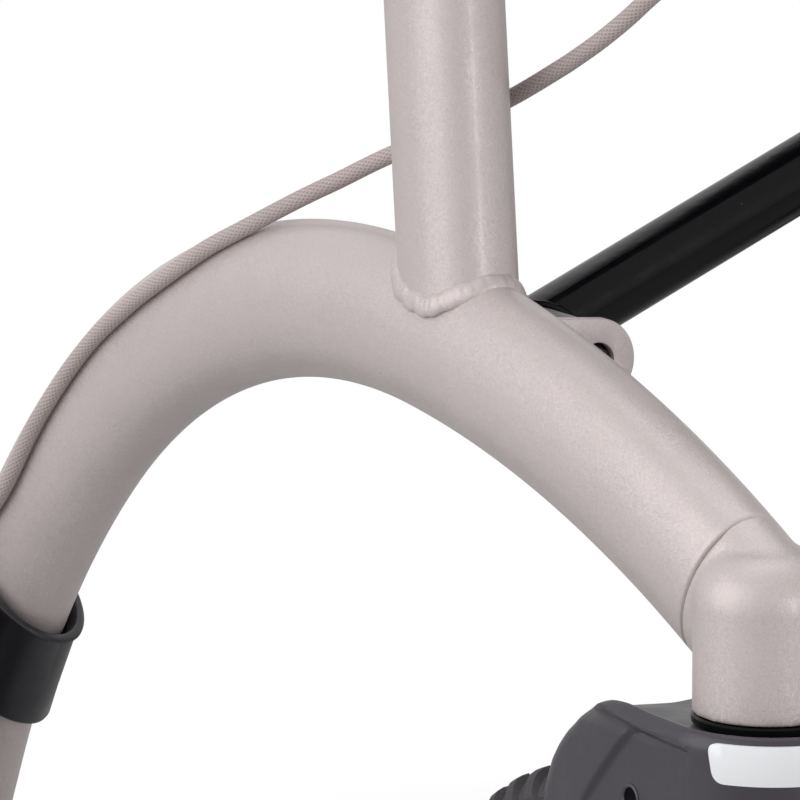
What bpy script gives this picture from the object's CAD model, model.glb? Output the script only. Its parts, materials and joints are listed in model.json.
"""Looks of a folding rollator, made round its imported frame.

Frame of the model: metres, +X forwards, +Y to the user's left, +Z up. Each side frame is
drawn in side coordinates (x, v, z), where v is the distance inboard from its middle plane,
and is then set out on the right and mirrored to the left.
"""

import json
import logging
import math
from collections.abc import Callable, Sequence
from dataclasses import dataclass
from enum import Enum

import bmesh
import bpy
import numpy as np
from bpy.types import Material, Mesh, NodeSocket, Object
from mathutils import Matrix, Vector
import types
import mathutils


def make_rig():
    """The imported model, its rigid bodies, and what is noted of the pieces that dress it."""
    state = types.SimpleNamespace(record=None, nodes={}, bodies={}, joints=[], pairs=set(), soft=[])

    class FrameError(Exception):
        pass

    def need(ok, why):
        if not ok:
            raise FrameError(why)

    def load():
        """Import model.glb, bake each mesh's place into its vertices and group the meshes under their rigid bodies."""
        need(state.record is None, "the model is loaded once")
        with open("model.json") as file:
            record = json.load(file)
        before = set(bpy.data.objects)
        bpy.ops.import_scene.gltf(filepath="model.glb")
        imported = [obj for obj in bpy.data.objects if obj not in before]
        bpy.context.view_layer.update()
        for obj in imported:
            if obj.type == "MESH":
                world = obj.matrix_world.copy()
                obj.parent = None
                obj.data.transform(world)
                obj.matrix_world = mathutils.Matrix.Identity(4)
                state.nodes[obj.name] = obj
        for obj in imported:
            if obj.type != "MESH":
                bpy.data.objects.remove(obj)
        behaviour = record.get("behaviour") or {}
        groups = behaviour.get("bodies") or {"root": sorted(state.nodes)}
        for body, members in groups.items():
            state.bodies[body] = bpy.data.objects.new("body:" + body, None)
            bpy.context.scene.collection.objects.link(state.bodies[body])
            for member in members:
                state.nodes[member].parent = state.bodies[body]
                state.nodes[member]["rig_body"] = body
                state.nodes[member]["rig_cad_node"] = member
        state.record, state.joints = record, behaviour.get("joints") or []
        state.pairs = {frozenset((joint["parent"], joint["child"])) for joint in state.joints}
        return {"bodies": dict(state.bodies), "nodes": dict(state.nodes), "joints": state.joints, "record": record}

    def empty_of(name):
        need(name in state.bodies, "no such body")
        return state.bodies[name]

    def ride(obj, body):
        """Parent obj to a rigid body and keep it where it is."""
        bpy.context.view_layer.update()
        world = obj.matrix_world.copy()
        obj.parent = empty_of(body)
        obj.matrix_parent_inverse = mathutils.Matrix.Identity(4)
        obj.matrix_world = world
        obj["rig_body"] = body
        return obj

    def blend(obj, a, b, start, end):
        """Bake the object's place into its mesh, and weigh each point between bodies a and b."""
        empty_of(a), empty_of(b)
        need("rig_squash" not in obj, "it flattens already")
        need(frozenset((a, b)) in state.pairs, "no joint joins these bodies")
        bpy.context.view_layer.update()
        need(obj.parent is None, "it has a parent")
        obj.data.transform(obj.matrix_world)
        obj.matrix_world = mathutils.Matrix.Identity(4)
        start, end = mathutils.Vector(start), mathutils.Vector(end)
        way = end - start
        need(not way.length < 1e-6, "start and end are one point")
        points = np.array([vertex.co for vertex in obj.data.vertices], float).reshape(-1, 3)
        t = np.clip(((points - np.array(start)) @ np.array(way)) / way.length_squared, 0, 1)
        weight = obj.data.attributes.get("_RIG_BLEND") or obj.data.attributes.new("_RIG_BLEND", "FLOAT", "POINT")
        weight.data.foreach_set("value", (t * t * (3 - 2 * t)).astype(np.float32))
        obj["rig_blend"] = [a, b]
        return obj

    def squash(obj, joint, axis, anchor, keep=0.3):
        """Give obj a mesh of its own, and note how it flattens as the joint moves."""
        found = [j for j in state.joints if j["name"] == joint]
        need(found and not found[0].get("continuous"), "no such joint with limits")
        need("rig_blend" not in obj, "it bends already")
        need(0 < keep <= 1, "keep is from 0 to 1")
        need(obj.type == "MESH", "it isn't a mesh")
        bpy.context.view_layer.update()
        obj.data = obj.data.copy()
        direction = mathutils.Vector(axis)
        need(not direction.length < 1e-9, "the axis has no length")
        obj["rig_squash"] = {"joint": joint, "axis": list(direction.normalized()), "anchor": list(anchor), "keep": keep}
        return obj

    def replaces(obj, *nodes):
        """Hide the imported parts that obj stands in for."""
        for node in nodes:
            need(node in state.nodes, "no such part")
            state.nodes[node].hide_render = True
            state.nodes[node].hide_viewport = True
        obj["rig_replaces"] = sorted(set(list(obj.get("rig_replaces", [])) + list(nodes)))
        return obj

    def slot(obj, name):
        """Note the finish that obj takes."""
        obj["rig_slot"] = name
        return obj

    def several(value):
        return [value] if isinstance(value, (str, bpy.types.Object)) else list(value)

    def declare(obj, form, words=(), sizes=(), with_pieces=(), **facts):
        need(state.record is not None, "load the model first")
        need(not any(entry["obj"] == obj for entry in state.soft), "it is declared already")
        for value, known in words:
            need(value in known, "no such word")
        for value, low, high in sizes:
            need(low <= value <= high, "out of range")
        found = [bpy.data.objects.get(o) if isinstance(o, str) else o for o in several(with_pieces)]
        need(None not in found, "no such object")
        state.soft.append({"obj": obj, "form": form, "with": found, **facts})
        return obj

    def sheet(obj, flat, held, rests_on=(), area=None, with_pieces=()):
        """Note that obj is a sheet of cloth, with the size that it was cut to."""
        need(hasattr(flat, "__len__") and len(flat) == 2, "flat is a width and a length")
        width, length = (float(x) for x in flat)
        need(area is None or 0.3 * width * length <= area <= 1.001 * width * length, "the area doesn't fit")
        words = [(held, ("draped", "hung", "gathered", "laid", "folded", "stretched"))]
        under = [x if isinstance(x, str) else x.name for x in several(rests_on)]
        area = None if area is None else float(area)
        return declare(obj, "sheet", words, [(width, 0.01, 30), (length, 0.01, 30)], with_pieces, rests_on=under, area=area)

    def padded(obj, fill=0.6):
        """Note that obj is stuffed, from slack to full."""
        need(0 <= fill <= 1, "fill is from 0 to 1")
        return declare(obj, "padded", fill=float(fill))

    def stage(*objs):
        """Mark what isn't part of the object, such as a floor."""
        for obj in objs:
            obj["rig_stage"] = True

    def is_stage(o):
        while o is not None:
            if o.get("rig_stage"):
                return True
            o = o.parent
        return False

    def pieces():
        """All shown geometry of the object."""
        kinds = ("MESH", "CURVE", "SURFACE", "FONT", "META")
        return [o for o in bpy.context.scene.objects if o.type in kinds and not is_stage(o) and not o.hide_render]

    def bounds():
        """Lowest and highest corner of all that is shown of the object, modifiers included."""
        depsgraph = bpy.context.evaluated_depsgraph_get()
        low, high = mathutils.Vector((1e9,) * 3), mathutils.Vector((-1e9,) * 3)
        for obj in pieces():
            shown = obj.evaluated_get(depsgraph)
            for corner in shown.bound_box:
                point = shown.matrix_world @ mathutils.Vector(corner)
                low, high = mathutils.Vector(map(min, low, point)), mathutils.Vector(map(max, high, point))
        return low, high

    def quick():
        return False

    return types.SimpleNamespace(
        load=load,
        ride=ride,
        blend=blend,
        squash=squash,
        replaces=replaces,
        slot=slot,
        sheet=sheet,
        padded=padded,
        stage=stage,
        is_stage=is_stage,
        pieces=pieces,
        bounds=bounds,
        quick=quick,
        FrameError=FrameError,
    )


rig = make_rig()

LOG = logging.getLogger("rollator")
Ring = list[Vector]
Flat = tuple[float, float]
Triple = tuple[float, float, float]
Line = tuple[Flat, ...]

HALF_TRACK = 0.250
GAP = 0.0003
FINE_VOXEL = 0.0008
COARSE_VOXEL = 0.0012
CLOTH_VOXEL = 0.0048
CURVE_STEPS = 24
START_SIDE = (0.31, 0.93, 0.2)
WHITE = (1.0, 1.0, 1.0, 1.0)


# Mesh work shared by all pieces

def turns(count: int) -> list[float]:
    """Return even angles all the way round, in radians."""
    return [2 * math.pi * i / count for i in range(count)]


def spread(low: float, high: float, steps: int) -> list[float]:
    """Return even values from low to high, both ends included."""
    return [low + (high - low) * i / steps for i in range(steps + 1)]


def stand(name: str, data: bpy.types.ID) -> Object:
    """Put an object made from its data into the scene.

    Args:
        name: The object's name.
        data: A mesh, a lamp or a camera.

    Returns:
        The object.
    """
    made = bpy.data.objects.new(name, data)
    bpy.context.scene.collection.objects.link(made)
    return made


def beside(at: Triple, out: float, v: float) -> Vector:
    """Return a point at a height out from a line that passes x, z with a heading."""
    x, z, heading = at
    return Vector((x - out * math.sin(heading), v, z + out * math.cos(heading)))


def mesh_from(points: Sequence[Vector], faces: Sequence[Sequence[int]]) -> Mesh:
    """Make a closed mesh whose faces point outwards.

    Args:
        points: The corners.
        faces: Corner numbers of each face.

    Returns:
        The mesh, with doubled corners welded.
    """
    mesh = bpy.data.meshes.new("shape")
    mesh.from_pydata([tuple(point) for point in points], [], [tuple(face) for face in faces])
    work = bmesh.new()
    work.from_mesh(mesh)
    bmesh.ops.remove_doubles(work, verts=work.verts, dist=1e-7)
    bmesh.ops.recalc_face_normals(work, faces=work.faces)
    work.to_mesh(mesh)
    work.free()
    return mesh


def skin(rings: Sequence[Ring], looped: bool = False) -> Mesh:
    """Stretch a skin over rings of equal count.

    Args:
        rings: The sections in order.
        looped: Whether the last ring joins the first, with no caps.

    Returns:
        The closed mesh.
    """
    count = len(rings[0])
    points = [point for ring in rings for point in ring]
    faces: list[tuple[int, ...]] = []
    for row in range(len(rings) if looped else len(rings) - 1):
        here, there = row * count, ((row + 1) % len(rings)) * count
        faces += [(here + i, here + (i + 1) % count, there + (i + 1) % count, there + i)
                  for i in range(count)]
    if not looped:
        faces.append(tuple(reversed(range(count))))
        faces.append(tuple(range(len(points) - count, len(points))))
    return mesh_from(points, faces)


def revolve(profile: Sequence[Flat], sides: int, centre: Sequence[float] = (0, 0, 0),
            axis: str = "Z", closed: bool = False) -> Mesh:
    """Turn a profile about an axis.

    Args:
        profile: Pairs of radius and height.
        sides: Steps round the axis.
        centre: A point on the axis.
        axis: X, Y or Z.
        closed: Whether the profile is a closed outline, which makes a ring.

    Returns:
        The turned mesh.
    """
    middle = Vector(centre)
    rings = []
    for angle in turns(sides):
        ring = []
        for radius, height in profile:
            a, b = radius * math.cos(angle), radius * math.sin(angle)
            ring.append(middle + Vector({"X": (height, a, b), "Y": (a, height, b),
                                         "Z": (a, b, height)}[axis]))
        rings.append(ring)
    if closed:
        return skin(rings, looped=True)
    count = len(profile)
    points = [point for ring in rings for point in ring]
    faces: list[tuple[int, ...]] = []
    for row in range(sides):
        here, there = row * count, ((row + 1) % sides) * count
        faces += [(here + i, here + i + 1, there + i + 1, there + i) for i in range(count - 1)]
    faces.append(tuple(row * count for row in range(sides)))
    faces.append(tuple(row * count + count - 1 for row in range(sides)))
    return mesh_from(points, faces)


def bar(radius: float, start: Sequence[float], end: Sequence[float], sides: int = 32,
        chamfer: float = 0.0) -> Mesh:
    """Make a round bar between two points.

    Args:
        radius: Its radius.
        start: The middle of one end.
        end: The middle of the other end.
        sides: Facets round it.
        chamfer: Size of the bevel at both ends.

    Returns:
        The bar.
    """
    low, high = Vector(start), Vector(end)
    run = (high - low).normalized()
    turn = run.to_track_quat("Z", "Y")
    stops = [(low, radius), (high, radius)]
    if chamfer:
        stops = [(low, radius - chamfer), (low + run * chamfer, radius),
                 (high - run * chamfer, radius), (high, radius - chamfer)]
    return skin([[at + turn @ Vector((size * math.cos(a), size * math.sin(a), 0))
                  for a in turns(sides)] for at, size in stops])


def rod(axis: str, radius: float, place: Flat, start: float, end: float, sides: int = 32,
        chamfer: float = 0.0) -> Mesh:
    """Make a round bar along an axis.

    Args:
        axis: X, Y or Z.
        radius: Its radius.
        place: Where it stands, in the two other directions.
        start: Where it starts along the axis.
        end: Where it ends.
        sides: Facets round it.
        chamfer: Size of the bevel at both ends.

    Returns:
        The bar.
    """
    at = "XYZ".index(axis)
    low, high = ((*place[:at], reach, *place[at:]) for reach in (start, end))
    return bar(radius, low, high, sides, chamfer)


def prism(outline: Sequence[Flat], low: float, high: float, axis: str = "Y") -> Mesh:
    """Give an outline thickness.

    Args:
        outline: Points in the plane.
        low: Where the thickness starts, along the axis square to the plane.
        high: Where it ends.
        axis: The axis square to the plane, X or Y.

    Returns:
        The flat-sided block.
    """
    return skin([[Vector((h, a, b) if axis == "X" else (a, h, b)) for a, b in outline]
                 for h in (low, high)])


def sheath(ring: Callable[[float, float], Ring], marks: Sequence[Flat]) -> Mesh:
    """Stretch a skin over sections of a tube, each grown by its own measure."""
    return skin([ring(at, grow) for at, grow in marks])


def arc(centre: Flat, radius: float, start: float, end: float, steps: int) -> list[Flat]:
    """Return points on an arc, with its angles given in degrees."""
    angles = [math.radians(degrees) for degrees in spread(start, end, steps)]
    return [(centre[0] + radius * math.cos(a), centre[1] + radius * math.sin(a)) for a in angles]


def oval(depth: float, width: float, sides: int, squareness: float = 2.0) -> list[Flat]:
    """Return the points of a superellipse.

    Args:
        depth: Its size along the first axis.
        width: Its size along the second axis.
        sides: How many points it has.
        squareness: 2 for an ellipse, more for fuller corners.

    Returns:
        The points in order.
    """
    power = 2.0 / squareness
    points = []
    for angle in turns(sides):
        c, s = math.cos(angle), math.sin(angle)
        points.append((math.copysign(abs(c) ** power, c) * depth / 2,
                       math.copysign(abs(s) ** power, s) * width / 2))
    return points


def shaped(mesh: Mesh, *steps: tuple[str, dict[str, object]]) -> Mesh:
    """Run modifiers over a mesh.

    Args:
        mesh: The mesh to start from.
        *steps: Kinds of modifier with their settings, in order.

    Returns:
        The mesh that the last modifier gives.
    """
    holder = stand("work", mesh)
    for kind, settings in steps:
        modifier = holder.modifiers.new(kind.lower(), kind)
        for key, value in settings.items():
            setattr(modifier, key, value)
    graph = bpy.context.evaluated_depsgraph_get()
    graph.update()
    result = bpy.data.meshes.new_from_object(holder.evaluated_get(graph))
    bpy.data.objects.remove(holder)
    result.materials.clear()
    return result


def combine(mesh: Mesh, others: Sequence[Mesh], operation: str) -> Mesh:
    """Combine a mesh with others, one after the other.

    Args:
        mesh: The first mesh.
        others: The meshes to add or take away.
        operation: UNION, DIFFERENCE or INTERSECT.

    Returns:
        The combined mesh.
    """
    for other in others:
        tool = stand("tool", other)
        mesh = shaped(mesh, ("BOOLEAN", {"operation": operation, "solver": "EXACT",
                                         "object": tool}))
        bpy.data.objects.remove(tool)
    return mesh


def cut(mesh: Mesh, *tools: Mesh) -> Mesh:
    """Take every tool away from the mesh."""
    return combine(mesh, tools, "DIFFERENCE")


def fuse(mesh: Mesh, *others: Mesh) -> Mesh:
    """Join every other mesh to the mesh as one body."""
    return combine(mesh, others, "UNION")


def gather(*meshes: Mesh) -> Mesh:
    """Put meshes side by side in one mesh, without cutting them.

    Args:
        *meshes: The meshes.

    Returns:
        One mesh that holds them all.
    """
    work = bmesh.new()
    for mesh in meshes:
        work.from_mesh(mesh)
    return finished(work)


def finished(work: bmesh.types.BMesh) -> Mesh:
    """Close a mesh in work.

    Args:
        work: The mesh in work, which is freed.

    Returns:
        The mesh made from it.
    """
    mesh = bpy.data.meshes.new("shape")
    work.to_mesh(mesh)
    work.free()
    return mesh


def soften(mesh: Mesh, width: float = 0.0005, angle: float = 32.0) -> Mesh:
    """Round the sharp edges of a mesh.

    Args:
        mesh: The mesh.
        width: How far the rounding reaches from each edge.
        angle: Edges that turn by more than this many degrees are rounded.

    Returns:
        The softened mesh.
    """
    return shaped(mesh, ("WELD", {"merge_threshold": 0.00002}),
                  ("BEVEL", {"width": width, "segments": 2, "limit_method": "ANGLE",
                             "angle_limit": math.radians(angle), "use_clamp_overlap": True}))


def remould(mesh: Mesh, voxel: float, rounds: int) -> Mesh:
    """Rebuild a mesh from small even faces and smooth it, as a moulding looks.

    Args:
        mesh: The closed mesh.
        voxel: Size of the new faces.
        rounds: Rounds of smoothing.

    Returns:
        The moulded mesh.
    """
    steps: list[tuple[str, dict[str, object]]] = [
        ("REMESH", {"mode": "VOXEL", "voxel_size": voxel, "adaptivity": 0.0})]
    if rounds:
        steps.append(("SMOOTH", {"factor": 0.5, "iterations": rounds}))
    return shaped(mesh, *steps)


def corners_of(mesh: Mesh) -> np.ndarray:
    """Read the places of a mesh's corners.

    Args:
        mesh: The mesh.

    Returns:
        An array of three columns.
    """
    flat = np.zeros(len(mesh.vertices) * 3, np.float32)
    mesh.vertices.foreach_get("co", flat)
    return flat.reshape(-1, 3).astype(float)


def set_corners(mesh: Mesh, places: np.ndarray) -> Mesh:
    """Move a mesh's corners.

    Args:
        mesh: The mesh.
        places: The new places, as an array of three columns.

    Returns:
        The same mesh.
    """
    mesh.vertices.foreach_set("co", places.astype(np.float32).ravel())
    mesh.update()
    return mesh


def smooth_route(points: Sequence[Sequence[float]], spacing: float) -> list[Vector]:
    """Run a smooth curve through points.

    Args:
        points: The points it passes.
        spacing: Distance between the points returned.

    Returns:
        Evenly spaced points on the curve.
    """
    knots = [Vector(point) for point in points]
    padded = [2 * knots[0] - knots[1], *knots, 2 * knots[-1] - knots[-2]]
    fine: list[Vector] = []
    for i in range(1, len(padded) - 2):
        a, b, c, d = padded[i - 1:i + 3]
        for k in range(CURVE_STEPS):
            t = k / CURVE_STEPS
            fine.append(0.5 * (2 * b + (c - a) * t + (2 * a - 5 * b + 4 * c - d) * t * t
                               + (3 * b - a - 3 * c + d) * t ** 3))
    fine.append(padded[-2])
    lengths = [0.0]
    for one, two in zip(fine, fine[1:]):
        lengths.append(lengths[-1] + (two - one).length)
    count = max(2, round(lengths[-1] / spacing))
    placed, at = [], 0
    for i in range(count + 1):
        goal = lengths[-1] * i / count
        while at < len(lengths) - 2 and lengths[at + 1] < goal:
            at += 1
        share = (goal - lengths[at]) / max(lengths[at + 1] - lengths[at], 1e-9)
        placed.append(fine[at].lerp(fine[at + 1], share))
    return placed


def sweep(points: Sequence[Vector], radius: float | Sequence[float], sides: int = 20,
          looped: bool = False) -> Mesh:
    """Draw a round section along points, with UVs: turns round it, and metres along it.

    Args:
        points: The centre line.
        radius: One radius, or one for each point.
        sides: Facets round it.
        looped: Whether the line closes on itself.

    Returns:
        The tube.
    """
    sizes = [radius] * len(points) if isinstance(radius, float) else list(radius)
    count, rows = sides, len(points)
    side = Vector(START_SIDE)
    rings, travelled, marks = [], 0.0, []
    for i, point in enumerate(points):
        before = points[(i - 1) % rows] if looped or i else point
        after = points[(i + 1) % rows] if looped or i < rows - 1 else point
        heading = (after - before).normalized()
        side = (side - heading * side.dot(heading)).normalized()
        other = heading.cross(side)
        rings.append([point + sizes[i] * (math.cos(a) * side + math.sin(a) * other)
                      for a in turns(count)])
        if i:
            travelled += (point - points[i - 1]).length
        marks.append(travelled)
    mesh = bpy.data.meshes.new("shape")
    faces, spots = [], []
    for row in range(rows if looped else rows - 1):
        here, there = row * count, ((row + 1) % rows) * count
        top = marks[row + 1] if row + 1 < rows else travelled + (points[0] - points[-1]).length
        for i in range(count):
            j = (i + 1) % count
            faces.append((here + i, here + j, there + j, there + i))
            spots += [(i / count, marks[row]), ((i + 1) / count, marks[row]),
                      ((i + 1) / count, top), (i / count, top)]
    if not looped:
        faces += [tuple(reversed(range(count))), tuple(range((rows - 1) * count, rows * count))]
        spots += [(0.0, 0.0)] * count + [(0.0, travelled)] * count
    mesh.from_pydata([tuple(p) for ring in rings for p in ring], [], faces)
    layer = mesh.uv_layers.new(name="run")
    layer.data.foreach_set("uv", [value for spot in spots for value in spot])
    return mesh


# Finishes

class Grain(Enum):
    """What breaks up a surface at its finest scale."""

    FLAKE = "metal flake under paint"
    PEBBLE = "the fine pebbling of a mould"
    BRUSHED = "lines left by drawing or brushing"
    WEAVE = "crossing yarns"
    TWILL = "the slanting ribs of webbing"
    BRAID = "strands plaited round a cable"
    PRISM = "rows of small prisms behind clear plastic"


SHADES: dict[Grain, Flat] = {Grain.WEAVE: (0.55, 1.06), Grain.TWILL: (0.55, 1.06),
                             Grain.BRAID: (0.55, 1.10), Grain.PRISM: (0.995, 1.0)}
BRAID_STRANDS = 12.0
DUST = (0.6, 0.6, 0.6, 1.0)
NOISE_SPAN: Flat = (0.3, 0.7)
EDGE_SPAN: Flat = (0.515, 0.60)
DRIFT_SCALE = 24.0
GLOSS_SCALE = 60.0
GLOSS_SPREAD: Flat = (-0.05, 0.07)
CHIP_SCALE = 90.0
CHIP_SHADE = 2.6
SPECK_SCALE = 140.0
LUMP_SCALE = 260.0
LUMP_DEPTH = 0.00006
FLAKE_SHADE = 0.055
FLAKE_TILT = 0.16
COAT_ROUGHNESS = 0.08


class Nodes:
    """Adds shader nodes to one material and joins them."""

    def __init__(self, material: Material) -> None:
        """Start on an empty tree.

        Args:
            material: The material to fill.
        """
        material.use_nodes = True
        self.tree = material.node_tree
        self.tree.nodes.clear()
        self.place = self.add("ShaderNodeTexCoord").outputs["Object"]

    def add(self, kind: str, settings: dict[str, object] | None = None,
            **inputs: object) -> bpy.types.Node:
        """Add a node.

        Args:
            kind: The node's class.
            settings: Values of the node itself.
            **inputs: Sockets or values for its inputs; a word of the form i0 is a number.

        Returns:
            The new node.
        """
        node = self.tree.nodes.new(kind)
        for key, value in (settings or {}).items():
            setattr(node, key, value)
        for key, value in inputs.items():
            slot = node.inputs[int(key[1:])] if key[1:].isdigit() else node.inputs[
                key.replace("_", " ")]
            if isinstance(value, NodeSocket):
                self.tree.links.new(value, slot)
            else:
                slot.default_value = value
        return node

    def sum(self, operation: str, *terms: object) -> NodeSocket:
        """Work out one number from others and return its socket."""
        inputs = {f"i{i}": term for i, term in enumerate(terms)}
        return self.add("ShaderNodeMath", {"operation": operation}, **inputs).outputs[0]

    def noise(self, scale: float, detail: float = 2.0,
              place: NodeSocket | None = None) -> NodeSocket:
        """Return soft random values over the surface, scale bumps to the metre."""
        return self.add("ShaderNodeTexNoise", Vector=place or self.place, Scale=scale,
                        Detail=detail).outputs["Fac"]

    def cells(self, scale: float, output: str = "Color") -> NodeSocket:
        """Return random cells over the surface, scale cells to the metre."""
        return self.add("ShaderNodeTexVoronoi", Vector=self.place, Scale=scale).outputs[output]

    def parts(self, value: NodeSocket) -> bpy.types.NodeOutputs:
        """Split a vector into its three numbers."""
        return self.add("ShaderNodeSeparateXYZ", Vector=value).outputs

    def span(self, value: NodeSocket, low: float, high: float, start: float = 0.0,
             end: float = 1.0) -> NodeSocket:
        """Carry a value from the span start..end to the span low..high."""
        return self.add("ShaderNodeMapRange", Value=value, From_Min=start, From_Max=end,
                        To_Min=low, To_Max=high).outputs[0]

    def blend(self, share: object, one: object, two: object) -> NodeSocket:
        """Mix two colours.

        Args:
            share: The share of the second one, as a socket or a number.
            one: The first colour or its socket.
            two: The second colour or its socket.

        Returns:
            The mixed colour's socket.
        """
        node = self.add("ShaderNodeMix", {"data_type": "RGBA"})
        for number, value in ((0, share), (6, one), (7, two)):
            if isinstance(value, NodeSocket):
                self.tree.links.new(value, node.inputs[number])
            else:
                node.inputs[number].default_value = value
        return node.outputs[2]

    def wave(self, value: NodeSocket, rate: float, shift: object = 0.0) -> NodeSocket:
        """Return a wave from 0 to 1, rate waves to the unit."""
        angle = self.sum("MULTIPLY_ADD", value, 2 * math.pi * rate, shift)
        return self.sum("MULTIPLY_ADD", self.sum("SINE", angle), 0.5, 0.5)


@dataclass(frozen=True)
class Finish:
    """One finish: its colour, its gloss and what breaks it up."""

    slot: str
    colour: Triple
    roughness: float
    grain: Grain
    size: float
    depth: float
    metallic: float = 0.0
    coat: float = 0.0
    mottle: float = 0.06
    wear: float = 0.0
    dust: float = 0.0
    sheen: float = 0.0
    edge: float = 0.0
    shine: float = 0.5
    turn: Triple = (1.0, 1.0, 1.0)

    def shade(self, factor: float) -> tuple[float, float, float, float]:
        """Return the colour, darker or lighter by a factor."""
        red, green, blue = (min(1.0, part * factor) for part in self.colour)
        return red, green, blue, 1.0

    def relief(self, nodes: Nodes) -> NodeSocket:
        """Build the height of the finest pattern.

        Args:
            nodes: The material's nodes.

        Returns:
            A height from 0 to 1.
        """
        per_metre = 1.0 / self.size
        if self.grain in (Grain.BRAID, Grain.TWILL, Grain.WEAVE):
            source = nodes.add("ShaderNodeTexCoord").outputs["UV"] \
                if self.grain is Grain.BRAID else nodes.place
            parts = nodes.parts(source)
            if self.grain is Grain.BRAID:
                lean = nodes.sum("MULTIPLY", parts[1], 2 * math.pi * per_metre)
                back = nodes.sum("MULTIPLY", lean, -1.0)
                one, two = (nodes.wave(parts[0], BRAID_STRANDS, way) for way in (lean, back))
                over = nodes.wave(parts[1], per_metre * 2.0)
                lifted = nodes.sum("ADD", one, nodes.sum("MULTIPLY", over, 0.4))
                return nodes.sum("MAXIMUM", nodes.sum("MULTIPLY", lifted, 0.72), two)
            if self.grain is Grain.TWILL:
                return nodes.wave(nodes.sum("ADD", parts[0], nodes.sum(
                    "MULTIPLY", parts[1], 0.6)), per_metre)
            one = nodes.wave(parts[0], per_metre)
            two = nodes.wave(parts[1], per_metre)
            return nodes.sum("MAXIMUM", nodes.sum("MULTIPLY", one, nodes.sum(
                "SUBTRACT", 1.0, two)), nodes.sum("MULTIPLY", two, nodes.sum(
                    "SUBTRACT", 1.0, one)))
        if self.grain is Grain.PRISM:
            parts = nodes.parts(nodes.place)
            return nodes.sum("MULTIPLY", nodes.wave(parts[2], per_metre),
                             nodes.wave(parts[1], per_metre))
        if self.grain is Grain.BRUSHED:
            lines = nodes.add("ShaderNodeMapping", Vector=nodes.place, Scale=tuple(
                per_metre * part for part in self.turn)).outputs[0]
            return nodes.noise(1.0, 3.0, lines)
        return nodes.noise(per_metre, 3.0)

    def base(self, nodes: Nodes, height: NodeSocket) -> NodeSocket:
        """Build the colour over the surface.

        Args:
            nodes: The material's nodes.
            height: The finest pattern's height.

        Returns:
            The colour's socket.
        """
        drift = nodes.span(nodes.noise(DRIFT_SCALE, 4.0), -self.mottle, self.mottle,
                           *NOISE_SPAN)
        colour = nodes.blend(height, *(self.shade(part) for part in SHADES.get(
            self.grain, (0.93, 1.06))))
        bright = nodes.sum("ADD", 1.0, drift)
        if self.grain is Grain.FLAKE:
            grey = nodes.parts(nodes.cells(1 / self.size))[0]
            bright = nodes.sum("ADD", bright, nodes.span(grey, -FLAKE_SHADE, FLAKE_SHADE))
        colour = nodes.add("ShaderNodeVectorMath", {"operation": "SCALE"}, i0=colour,
                           i3=bright).outputs[0]
        if self.wear:
            edge = nodes.span(nodes.add("ShaderNodeNewGeometry").outputs["Pointiness"],
                              0.0, self.wear, *EDGE_SPAN)
            edge = nodes.sum("MULTIPLY", edge, nodes.noise(CHIP_SCALE, 4.0))
            colour = nodes.blend(nodes.sum("MINIMUM", edge, 1.0), colour,
                                 self.shade(CHIP_SHADE))
        if self.dust:
            speck = nodes.sum("LESS_THAN", nodes.cells(SPECK_SCALE, "Distance"), self.dust)
            colour = nodes.blend(nodes.sum("MULTIPLY", speck, 0.5), colour, DUST)
        return colour

    def normal(self, nodes: Nodes, height: NodeSocket) -> NodeSocket:
        """Build the surface direction: rounded edges, flakes and the relief.

        Args:
            nodes: The material's nodes.
            height: The finest pattern's height.

        Returns:
            The direction's socket.
        """
        under: dict[str, object] = {}
        if self.edge:
            under["Normal"] = nodes.add("ShaderNodeBevel", {"samples": 4},
                                        Radius=self.edge).outputs[0]
        slow = nodes.add("ShaderNodeBump", Strength=1.0, Distance=LUMP_DEPTH,
                         Height=nodes.noise(LUMP_SCALE, 1.0), **under).outputs[0]
        fine = nodes.add("ShaderNodeBump", Strength=1.0, Distance=self.depth, Height=height,
                         Normal=slow).outputs[0]
        if self.grain is not Grain.FLAKE:
            return fine
        tilt = nodes.add("ShaderNodeVectorMath", {"operation": "MULTIPLY_ADD"},
                         i0=nodes.cells(1 / self.size), i1=(FLAKE_TILT,) * 3, i2=fine).outputs[0]
        tilt = nodes.add("ShaderNodeVectorMath", {"operation": "SUBTRACT"}, i0=tilt,
                         i1=(FLAKE_TILT / 2,) * 3).outputs[0]
        return nodes.add("ShaderNodeVectorMath", {"operation": "NORMALIZE"}, i0=tilt).outputs[0]

    def make(self) -> Material:
        """Build the material, or return the one already built.

        Returns:
            The material for this finish.
        """
        name = f"{self.slot}_{self.grain.name.lower()}_{round(self.size * 1e6)}"
        found = bpy.data.materials.get(name)
        if found is not None:
            return found
        material = bpy.data.materials.new(name)
        nodes = Nodes(material)
        height = self.relief(nodes)
        low, high = (self.roughness + part for part in GLOSS_SPREAD)
        rough = nodes.span(nodes.noise(GLOSS_SCALE, 4.0), low, high, *NOISE_SPAN)
        shader = nodes.add("ShaderNodeBsdfPrincipled", Base_Color=self.base(nodes, height),
                           Roughness=rough, Normal=self.normal(nodes, height),
                           Metallic=self.metallic, Coat_Weight=self.coat,
                           Coat_Roughness=COAT_ROUGHNESS, Sheen_Weight=self.sheen,
                           Specular_IOR_Level=self.shine)
        nodes.add("ShaderNodeOutputMaterial", Surface=shader.outputs[0])
        return material


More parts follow.
